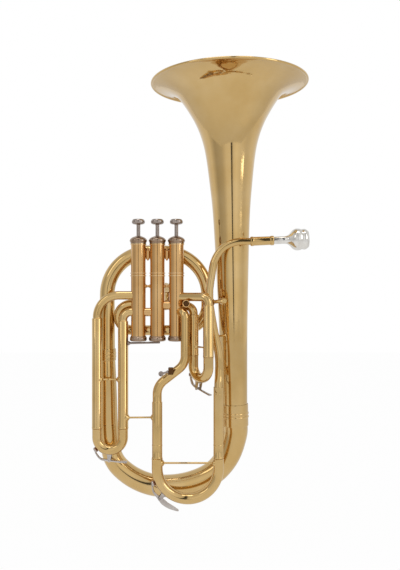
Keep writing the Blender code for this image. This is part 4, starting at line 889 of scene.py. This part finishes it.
braceHeights = {"third": -0.1120, "first": -0.0700, "tuning": tuning["sleeveEnd"] - 0.0062,
                "thirdStay": third["sleeveEnd"] + 0.0132, "lean": 0.0030}
stays = {
    # name: node, body, start, end, the radii of the tubes that carry it, its shaft, flange and oval
    "thirdStay": ("third_slide_stay", "horn", (third["innerX"], third["y"], braceHeights["thirdStay"]),
                  (tuning["leftX"], tuning["y"], braceHeights["thirdStay"] + braceHeights["lean"]),
                  slides["sleeve"], slides["tuningSleeve"], 0.0012, 0.0038, 0.40),
    "thirdBrace": ("third_sleeve_brace", "horn", (third["outerX"], third["y"], braceHeights["third"]),
                   (third["innerX"], third["y"], braceHeights["third"]),
                   slides["sleeve"], slides["sleeve"], 0.0011, 0.0034, 0.70),
    "firstBrace": ("first_sleeve_brace", "horn", (first["leftX"], first["leftY"], braceHeights["first"]),
                   (first["rightX"], first["rightY"], braceHeights["first"]),
                   slides["sleeve"], slides["sleeve"], 0.0010, 0.0024, 0.40),
    "tuningBrace": ("tuning_slide_brace", "tuning_slide",
                    (tuning["leftX"], tuning["y"], braceHeights["tuning"]),
                    (tuning["rightX"], tuning["y"], braceHeights["tuning"]),
                    slides["tuningBow"], slides["tuningBow"], 0.0012, 0.0038, 0.40)}
# name: node, height, shaft, flange and oval
bellStays = {"upperBellStay": ("upper_bell_stay", -0.0120, 0.0024, 0.0044, 0.40),
             "lowerBellStay": ("lower_bell_stay", -0.0560, 0.0012, 0.0030, 0.40)}
valveStay = {"radius": 0.0013, "end": 0.0033, "fall": 0.0009}
# how far a flange's shape reaches along its stay, and the leadpipe's radius where stays meet it
stayReach, leadpipeRadius = 0.0030, 0.0050


def hug(mesh, start, run, axis, radius, oval=0.0):
    # widens the end of a stay into an oval and bends it back onto the round tube that carries it
    side = run.cross(axis).normalized()
    for vertex in mesh.vertices:
        offset = vertex.co - start
        along = offset.dot(run) - radius
        if along < stayReach:
            share = 1.0 - along / stayReach
            vertex.co += side * offset.dot(side) * oval * share
            offset = vertex.co - start
            across = min(abs(offset.dot(side)), radius * 0.95)
            drop = radius - math.sqrt(radius * radius - across * across)
            vertex.co -= run * drop * min(1.0, share)


def stayOutline(first, last, shaft, flange):
    # a slim turned stay: a flange, a small neck and a plain shaft, the same at both ends
    end = [(0.0, -0.0006), (flange, -0.0006), (flange, 0.0005), (flange - 0.0004, 0.0009),
           (flange * 0.62 + shaft * 0.38, 0.0012), (shaft + 0.0004, 0.0019), (shaft, 0.0032)]
    outline = [(radius, last - height) for radius, height in end]
    return outline + [(radius, first + height) for radius, height in reversed(end)]


def makeStay(name, node, body, start, end, startRadius, endRadius, shaft, flange, oval, endAxis=up):
    start, end = Vector(start), Vector(end)
    run = (end - start).normalized()
    outline = stayOutline(startRadius, (end - start).length - endRadius, shaft, flange)
    mesh = turnedMesh(outline, aim(start, run), 32)
    hug(mesh, start, run, up, startRadius, oval)
    hug(mesh, end, -run, endAxis, endRadius, oval)
    addPiece(name, mesh, [node], body)


def leadpipeAt(height):
    # where the leadpipe's centre comes down past a height
    points = [(leadpipe["receiverX"], leadpipe["receiverHeight"])] + leadpipe["path"]
    route = smoothRoute([Vector((x, leadpipe["y"], z)) for x, z in points], 10)
    return next(point for point in route if point.z < height)


def bellRadiusAt(height):
    below = bell["rimHeight"] - height
    outline = [(wide * bell["rimRadius"], low * bell["length"]) for wide, low in bell["outline"]]
    for (wide, near), (narrow, far) in zip(outline, outline[1:]):
        if near <= below <= far:
            return wide + (narrow - wide) * (below - near) / (far - near)
    return bell["stemEnd"]


def makeStays():
    for name, settings in stays.items():
        makeStay(name, *settings)
    for name, (node, height, *sizes) in bellStays.items():
        onBell = bellRim + bellAxis * (bell["rimHeight"] - height)
        makeStay(name, node, "horn", leadpipeAt(height), onBell, leadpipeRadius, bellRadiusAt(height), *sizes,
                 endAxis=bellAxis)
    level = valves["bottom"] - tubing["gap"] - valves["lowCapThick"] - valves["lowCapDome"]
    level -= tubing["gap"] + valveStay["radius"]
    start = Vector((third["innerX"], third["y"], level - valveStay["fall"]))
    end = Vector((valveStay["end"], 0.0, level))
    run = (end - start).normalized()
    length, shaft, wall = (end - start).length, valveStay["radius"], slides["sleeve"]
    outline = [(0.0, length), (shaft * 0.7, length), (shaft, length - 0.0005), (shaft, wall + 0.0030),
               (shaft + 0.0006, wall + 0.0018), (0.0026, wall + 0.0010), (0.0028, wall - 0.0006),
               (0.0, wall - 0.0006)]
    mesh = turnedMesh(outline, aim(start, run), 32)
    hug(mesh, start, run, up, wall)
    addPiece("valveStay", mesh, ["valve_stay"], "horn", "nickel_plate")


makeStays()
print("stays made")


keyParts = {"barrel": 0.0016, "barrelLength": 0.0056, "cup": 0.0034, "cheek": 0.0008, "cheekWidth": 0.0021,
            "tail": 0.0014}
waterKeys = {
    # each key's slide, the ends of the slide's bow, the bow's tube, and the arm as (angle, rise) off the tube
    "tuning": {"slide": tuning, "left": (tuning["leftX"], tuning["y"]),
               "right": (tuning["rightX"], tuning["y"]), "tube": 0.0070,
               "arm": [(204.0, 0.0040), (215.0, 0.0066), (227.0, 0.0064), (240.0, 0.0076), (256.0, 0.0088)],
               # half sizes of the arm outward from the bow, and crosswise, from cup to tail
               "outward": [0.0008, 0.0012, 0.0017, 0.0034, 0.0030, 0.0010, 0.0008],
               "crosswise": [0.0015, 0.0016, 0.0018, 0.0009, 0.0009, 0.0010, 0.0012]},
    "third": {"slide": third, "left": (third["outerX"], third["y"]),
              "right": (third["innerX"], third["y"]), "tube": 0.0060,
              "arm": [(221.0, 0.0040), (246.0, 0.0074), (268.0, 0.0070), (286.0, 0.0096), (302.0, 0.0150)],
              "outward": [0.0008, 0.0011, 0.0015, 0.0011, 0.0012, 0.0013, 0.0008],
              "crosswise": [0.0015, 0.0016, 0.0018, 0.0016, 0.0022, 0.0028, 0.0024]},
    "first": {"slide": first, "left": (first["leftX"], first["leftY"]),
              "right": (first["rightX"], first["rightY"]), "tube": 0.0060,
              "arm": [(213.0, 0.0040), (236.0, 0.0078), (260.0, 0.0078), (280.0, 0.0108), (297.0, 0.0168)],
              "outward": [0.0008, 0.0011, 0.0015, 0.0010, 0.0009, 0.0010, 0.0007],
              "crosswise": [0.0015, 0.0016, 0.0018, 0.0014, 0.0018, 0.0024, 0.0020]}}


def stripMesh(route, side, outward, across):
    # a smooth bar whose half sizes change along it, rounded at both ends
    shape = bmesh.new()
    rings = []
    count, corners, squareness = len(route), 16, 0.55
    for number, place in enumerate(route):
        run = (route[min(number + 1, count - 1)] - route[max(number - 1, 0)]).normalized()
        out = run.cross(side).normalized()
        at = number / (count - 1) * (len(outward) - 1)
        low = min(int(at), len(outward) - 2)
        share = at - low
        high = outward[low] * (1.0 - share) + outward[low + 1] * share
        wide = across[low] * (1.0 - share) + across[low + 1] * share
        taper = min(1.0, 0.35 + 0.65 * min(number, count - 1 - number) / 2.0)
        ring = []
        for step in range(corners):
            angle = 2.0 * math.pi * step / corners
            c, d = math.cos(angle), math.sin(angle)
            x = math.copysign(abs(c) ** squareness, c) * wide * taper
            y = math.copysign(abs(d) ** squareness, d) * high * taper
            ring.append(shape.verts.new(place + side * x + out * y))
        rings.append(ring)
    for low, high in zip(rings, rings[1:]):
        bridge(shape, low, high)
    shape.faces.new(rings[0][::-1])
    shape.faces.new(rings[-1])
    bmesh.ops.recalc_face_normals(shape, faces=shape.faces)
    return finishMesh(shape)


def plateMesh(outline, thickness, place):
    # a flat plate cut to an outline in its own XY plane
    shape = bmesh.new()
    front = [shape.verts.new((x, y, thickness / 2.0)) for x, y in outline]
    back = [shape.verts.new((x, y, -thickness / 2.0)) for x, y in outline]
    shape.faces.new(front)
    shape.faces.new(back[::-1])
    bridge(shape, back, front)
    bmesh.ops.recalc_face_normals(shape, faces=shape.faces)
    return finishMesh(shape, place)


def makeWaterKey(name, key):
    # a lever with its cup, cork and pivot barrel, and the saddle whose two cheeks hold the pivot screw
    height = key["slide"]["sleeveEnd"] - key["slide"]["drop"]
    left, right = Vector((*key["left"], height)), Vector((*key["right"], height))
    centre, across = (left + right) / 2.0, (right - left).normalized()
    side = across.cross(up).normalized()

    def place(angle, distance):
        turn = math.radians(angle)
        return centre + (across * math.cos(turn) + up * math.sin(turn)) * distance

    bow = (right - left).length / 2.0
    surface = bow + key["tube"]
    body = f"{name}_water_key"
    cupAngle, (pivotAngle, pivotRise) = key["arm"][0][0], key["arm"][2]
    pivot = place(pivotAngle, surface + pivotRise)
    outward = (pivot - place(pivotAngle, 0.0)).normalized()
    cupOut = (place(cupAngle, surface) - place(cupAngle, 0.0)).normalized()
    foot = place(cupAngle, surface)
    bends = [place(angle, surface + rise) for angle, rise in key["arm"]]
    bends.append(bends[-1] + (bends[-1] - bends[-2]).normalized() * keyParts["tail"])
    arm = stripMesh(smoothRoute(bends, 8), side, key["outward"], key["crosswise"])
    cup = keyParts["cup"]
    outline = [(0.0, 0.0042), (0.0016, 0.0040), (cup - 0.0004, 0.0034), (cup, 0.0028), (cup, 0.0013)]
    outline = rounded(outline, 0.0004) + [(cup - 0.0005, 0.0013), (cup - 0.0005, 0.0020), (0.0, 0.0020)]
    cupMesh = turnedMesh(outline, aim(foot, cupOut), 32)
    half, barrel = keyParts["barrelLength"] / 2.0, keyParts["barrel"]
    outline = [(0.0, half), (barrel, half), (barrel, half - 0.0008), (barrel - 0.0002, half - 0.0012)]
    outline += [(radius, -along) for radius, along in reversed(outline)]
    barrelMesh = turnedMesh(rounded(outline, 0.0001), aim(pivot, side), 24)
    addPiece(f"{name}KeyLever", joined([arm, cupMesh, barrelMesh]), [f"{name}_water_key_lever"], body,
             "nickel_plate", finish=keyNickel)
    outline = [(0.0, 0.0019), (cup - 0.0006, 0.0019), (cup - 0.0005, 0.0012), (cup - 0.0006, 0.0004),
               (0.0, 0.0004)]
    corkMesh = turnedMesh(outline, aim(foot, cupOut), 32)
    addPiece(f"{name}KeyCork", corkMesh, [], body, "nickel_plate", finish=cork)
    wide, reach, thick = keyParts["cheekWidth"], pivotRise + 0.0012, keyParts["cheek"]
    outline = [(-wide * 1.35, -reach), (-wide, -pivotRise * 0.35)]
    outline += [tuple(polar(angle, wide * 0.85).xy) for angle in range(180, -1, -15)]
    outline += [(wide, -pivotRise * 0.35), (wide * 1.35, -reach)]
    turn = Matrix((side.cross(outward), outward, side)).transposed().to_4x4()
    cheeks = []
    for sign in (-1.0, 1.0):
        spot = pivot + side * sign * (half + thick / 2.0 + 0.0001)
        cheeks.append(plateMesh(outline, thick, Matrix.Translation(spot) @ turn))
        screw = [(0.0, 0.0007), (0.0010, 0.0006), (0.0013, 0.0002), (0.0013, 0.0), (0.0, 0.0)]
        cheeks.append(turnedMesh(screw, aim(spot + side * sign * thick / 2.0, side * sign), 20))
    base = turnedMesh([(0.0, 0.0008), (0.0036, 0.0007), (0.0040, 0.0002), (0.0040, -0.0006), (0.0, -0.0006)],
                      aim(place(pivotAngle, surface), outward), 32)
    hug(base, place(pivotAngle, bow), outward, across.cross(side), key["tube"])
    addPiece(f"{name}KeySaddle", joined(cheeks + [base]), [f"{name}_water_key_saddle"], f"{name}_slide",
             "nickel_plate", finish=keyNickel)


for keyName, keySettings in waterKeys.items():
    makeWaterKey(keyName, keySettings)
print("water keys made")


lyre = {"x": 0.0180, "height": -0.0985, "size": 0.0062, "wall": 0.0009, "length": 0.0086, "reach": 0.0125,
        "fall": math.radians(16.0), "disc": 0.0033, "discThick": 0.0016, "shaft": 0.0012,
        "scallops": 26, "scallop": 0.07}
portCap = {"x": 0.0368, "height": -0.0158, "front": -0.0180, "back": -0.0010, "radius": 0.0049}


def roundedSquare(half, corner, steps=5):
    points = []
    inner = half - corner
    for x, y, begin in ((inner, inner, 0.0), (-inner, inner, 90.0), (-inner, -inner, 180.0),
                        (inner, -inner, 270.0)):
        for step in range(steps + 1):
            angle = math.radians(begin + 90.0 * step / steps)
            points.append((x + corner * math.cos(angle), y + corner * math.sin(angle)))
    return points


def makeLyreHolder():
    # a square socket for the lyre's stem, soldered to the crook's front, and its thumb screw
    half = lyre["size"] / 2.0
    centre = Vector((lyre["x"], tuning["y"] - tuning["crook"] - half, lyre["height"]))
    tall = lyre["length"] / 2.0
    inner = half - lyre["wall"]
    layers = [(half - 0.0003, -tall, 0.0011), (half, -tall + 0.0003, 0.0012), (half, tall - 0.0003, 0.0012),
              (half - 0.0003, tall, 0.0011), (inner, tall, 0.0004), (inner, -tall, 0.0004)]
    shape = bmesh.new()
    rings = [[shape.verts.new(centre + Vector((x, y, height))) for x, y in roundedSquare(size, corner)]
             for size, height, corner in layers]
    for low, high in zip(rings, rings[1:] + rings[:1]):
        bridge(shape, low, high)
    # the socket is painted dark brown as shade
    addPiece("lyreSocket", finishMesh(shape), ["lyre_holder"], "horn", finish=paintedShadeBrass)
    run = Vector((-math.cos(lyre["fall"]), 0.0, -math.sin(lyre["fall"])))
    middle = centre + run * lyre["reach"]
    radius, collar, thick = lyre["shaft"], lyre["shaft"] + 0.0007, lyre["discThick"] / 2.0
    outline = [(0.0, lyre["reach"]), (radius, lyre["reach"]), (radius, 0.0054), (collar, 0.0050),
               (collar, half + 0.0002), (radius, half), (radius, lyre["wall"]), (0.0, lyre["wall"])]
    shaft = turnedMesh(outline, aim(centre, run), 24)
    outline = [(0.0, thick * 0.7), (0.0017, thick * 0.7), (0.0022, thick), (0.0030, thick),
               (lyre["disc"], thick * 0.5)]
    outline += [(width, -along) for width, along in reversed(outline)]
    disc = turnedMesh(outline, None, lyre["scallops"] * 4)
    for vertex in disc.vertices:
        level = Vector((vertex.co.x, vertex.co.y))
        if level.length > lyre["disc"] - 0.0001:
            wave = 0.5 + 0.5 * math.cos(math.atan2(level.y, level.x) * lyre["scallops"])
            vertex.co.x *= 1.0 - lyre["scallop"] * wave
            vertex.co.y *= 1.0 - lyre["scallop"] * wave
    disc.transform(aim(middle, (0.0, -1.0, 0.0)))
    addPiece("lyreScrew", joined([shaft, disc]), ["lyre_screw"], "lyre_screw", "nickel_plate")


def makePortCap():
    # a short round stub with a rolled lip, on the elbow beside the first casing
    radius, length = portCap["radius"], portCap["back"] - portCap["front"]
    outline = [(0.0, length - 0.0030), (radius - 0.0018, length - 0.0026), (radius - 0.0014, length - 0.0004),
               (radius - 0.0006, length), (radius, length - 0.0006), (radius - 0.0001, length - 0.0013),
               (radius - 0.0005, length - 0.0018), (radius - 0.0005, 0.0), (0.0, 0.0)]
    place = aim((portCap["x"], portCap["back"], portCap["height"]), (0.0, -1.0, 0.0))
    addPiece("portCap", turnedMesh(rounded(outline, 0.0003), place, 48), [], "horn", finish=casingBrass)
    core = radius - 0.0019
    outline = [(0.0, length - 0.0010), (core * 0.6, length - 0.0011), (core, length - 0.0016),
               (core, length - 0.0024), (0.0, length - 0.0024)]
    # the core in the stub's hollow is painted dark brown as shade
    addPiece("portCapCore", turnedMesh(outline, place, 40), [], "horn", finish=paintedShadeBrass)


makeLyreHolder()
makePortCap()
print("lyre holder made")


studio = {
    "lens": 41.5, "distance": 0.850, "cameraX": 0.0539, "cameraHeight": 0.0073,
    "floorDrop": 0.06, "floorSize": 5.0, "floorColour": "#E6E6E6",
    "floorGlow": 0.97, "surroundStrength": 0.98, "behind": 0.86,
    # brightness round the horn from its left to its right side, as seen from the front
    "front": [(0.0, 0.50), (0.16, 0.62), (0.30, 0.88), (0.46, 0.92), (0.492, 0.76), (0.502, 0.08),
              (0.548, 0.08), (0.558, 0.76), (0.62, 0.92), (0.72, 1.0), (0.82, 0.92), (1.0, 0.72)],
    # and from straight below to straight above
    "height": [(0.0, 0.90), (0.40, 0.94), (0.52, 0.96), (0.60, 1.0), (0.68, 1.0), (0.80, 0.86), (1.0, 0.80)],
    # how bright metal sees the floor near the horn and further out, and the distances
    "floorMirror": (0.50, 0.24), "mirrorReach": (0.35, 1.10),
    # soft boxes: name, place, target, size, watts
    "boxes": [("leftBox", (-1.00, -0.85, 0.75), (0.05, 0.0, 0.0), (0.34, 0.70), 0.9),
              ("rightBox", (1.15, -0.70, 0.55), (0.05, 0.0, 0.0), (0.35, 0.90), 2.2),
              ("topBox", (0.05, -0.25, 1.30), (0.05, 0.0, 0.0), (0.80, 0.35), 2.6)]}


def seenRays(tree):
    # 1 for what the camera or anything clear sees, and for metal a share that falls away from the horn
    rays = addNode(tree, "ShaderNodeLightPath")
    place = addNode(tree, "ShaderNodeNewGeometry")
    distance = addNode(tree, "ShaderNodeVectorMath", {"operation": "LENGTH"}, None, {0: (place, "Position")})
    level = addRange(tree, (distance, "Value"), studio["mirrorReach"], studio["floorMirror"])
    metal = addMaths(tree, "MULTIPLY", (rays, "Is Glossy Ray"), (level, "Result"))
    both = addMaths(tree, "MAXIMUM", (rays, "Is Camera Ray"), (metal, "Value"))
    return addMaths(tree, "MAXIMUM", (both, "Value"), (rays, "Is Transmission Ray"))


def makeFloor(height):
    bpy.ops.mesh.primitive_plane_add(size=studio["floorSize"], location=(0.0, 0.0, height))
    floor = bpy.context.object
    floor.name = "studioFloor"
    material, tree, output = startMaterial("palePaper")
    paper = addNode(tree, "ShaderNodeBsdfDiffuse", None, {"Color": hexLinear(studio["floorColour"])})
    glow = addNode(tree, "ShaderNodeEmission", None, {"Color": grey(1.0), "Strength": 1.0})
    share = addNode(tree, "ShaderNodeMath", {"operation": "MULTIPLY"}, {1: studio["floorGlow"]},
                    {0: (seenRays(tree), "Value")})
    mix = addNode(tree, "ShaderNodeMixShader", None, None,
                  {"Fac": (share, "Value"), 1: (paper, "BSDF"), 2: (glow, "Emission")})
    tree.links.new(mix.outputs["Shader"], output.inputs["Surface"])
    floor.data.materials.append(material)


def makeSurround():
    # pale walls that the metal mirrors, a little darker straight in front, where the camera would stand
    world = bpy.data.worlds.new("softStudio")
    bpy.context.scene.world = world
    world.use_nodes = True
    tree = world.node_tree
    tree.nodes.clear()
    place = addNode(tree, "ShaderNodeTexCoord")
    axes = addNode(tree, "ShaderNodeSeparateXYZ", None, None, {"Vector": (place, "Generated")})
    across = addRange(tree, (axes, "X"), (-1.0, 1.0))
    front = addRamp(tree, (across, "Result"), [(at, grey(value)) for at, value in studio["front"]])
    behind = addRange(tree, (axes, "Y"), (-0.25, 0.25))
    level = addNode(tree, "ShaderNodeMix", {"data_type": "RGBA"}, {"B": grey(studio["behind"])},
                    {"Factor": (behind, "Result"), "A": (front, "Color")})
    rise = addRange(tree, (axes, "Z"), (-1.0, 1.0))
    height = addRamp(tree, (rise, "Result"), [(at, grey(value)) for at, value in studio["height"]])
    walls = addNode(tree, "ShaderNodeMix", {"data_type": "RGBA", "blend_type": "MULTIPLY"}, {"Factor": 1.0},
                    {"A": (level, 2), "B": (height, "Color")})
    room = addNode(tree, "ShaderNodeBackground", None, {"Strength": studio["surroundStrength"]},
                   {"Color": (walls, 2)})
    backdrop = addNode(tree, "ShaderNodeBackground", None, {"Color": grey(1.0), "Strength": 1.0})
    rays = addNode(tree, "ShaderNodeLightPath")
    mix = addNode(tree, "ShaderNodeMixShader", None, None,
                  {"Fac": (rays, "Is Camera Ray"), 1: (room, "Background"), 2: (backdrop, "Background")})
    addNode(tree, "ShaderNodeOutputWorld", None, None, {"Surface": (mix, "Shader")})


def makeBoxes():
    for name, place, target, size, watts in studio["boxes"]:
        lamp = bpy.data.lights.new(name, "AREA")
        lamp.shape = "RECTANGLE"
        lamp.size, lamp.size_y = size
        lamp.energy = watts
        box = bpy.data.objects.new(name, lamp)
        bpy.context.scene.collection.objects.link(box)
        box.location = place
        box.rotation_euler = (Vector(target) - Vector(place)).to_track_quat("-Z", "Y").to_euler()
        box.visible_camera = False


def makeCamera():
    camera = bpy.data.objects.new("camera", bpy.data.cameras.new("camera"))
    bpy.context.scene.collection.objects.link(camera)
    camera.location = (studio["cameraX"], large["y"] - studio["distance"], studio["cameraHeight"])
    camera.rotation_euler = (math.radians(90.0), 0.0, 0.0)
    camera.data.sensor_width = 36.0
    camera.data.lens = studio["lens"]
    camera.data.clip_start = 0.01
    bpy.context.scene.camera = camera
    bpy.context.scene.view_settings.view_transform = "Standard"


floorHeight = cadBox[0][2] - studio["floorDrop"]
makeFloor(floorHeight)
makeSurround()
makeBoxes()
makeCamera()
print("studio made")
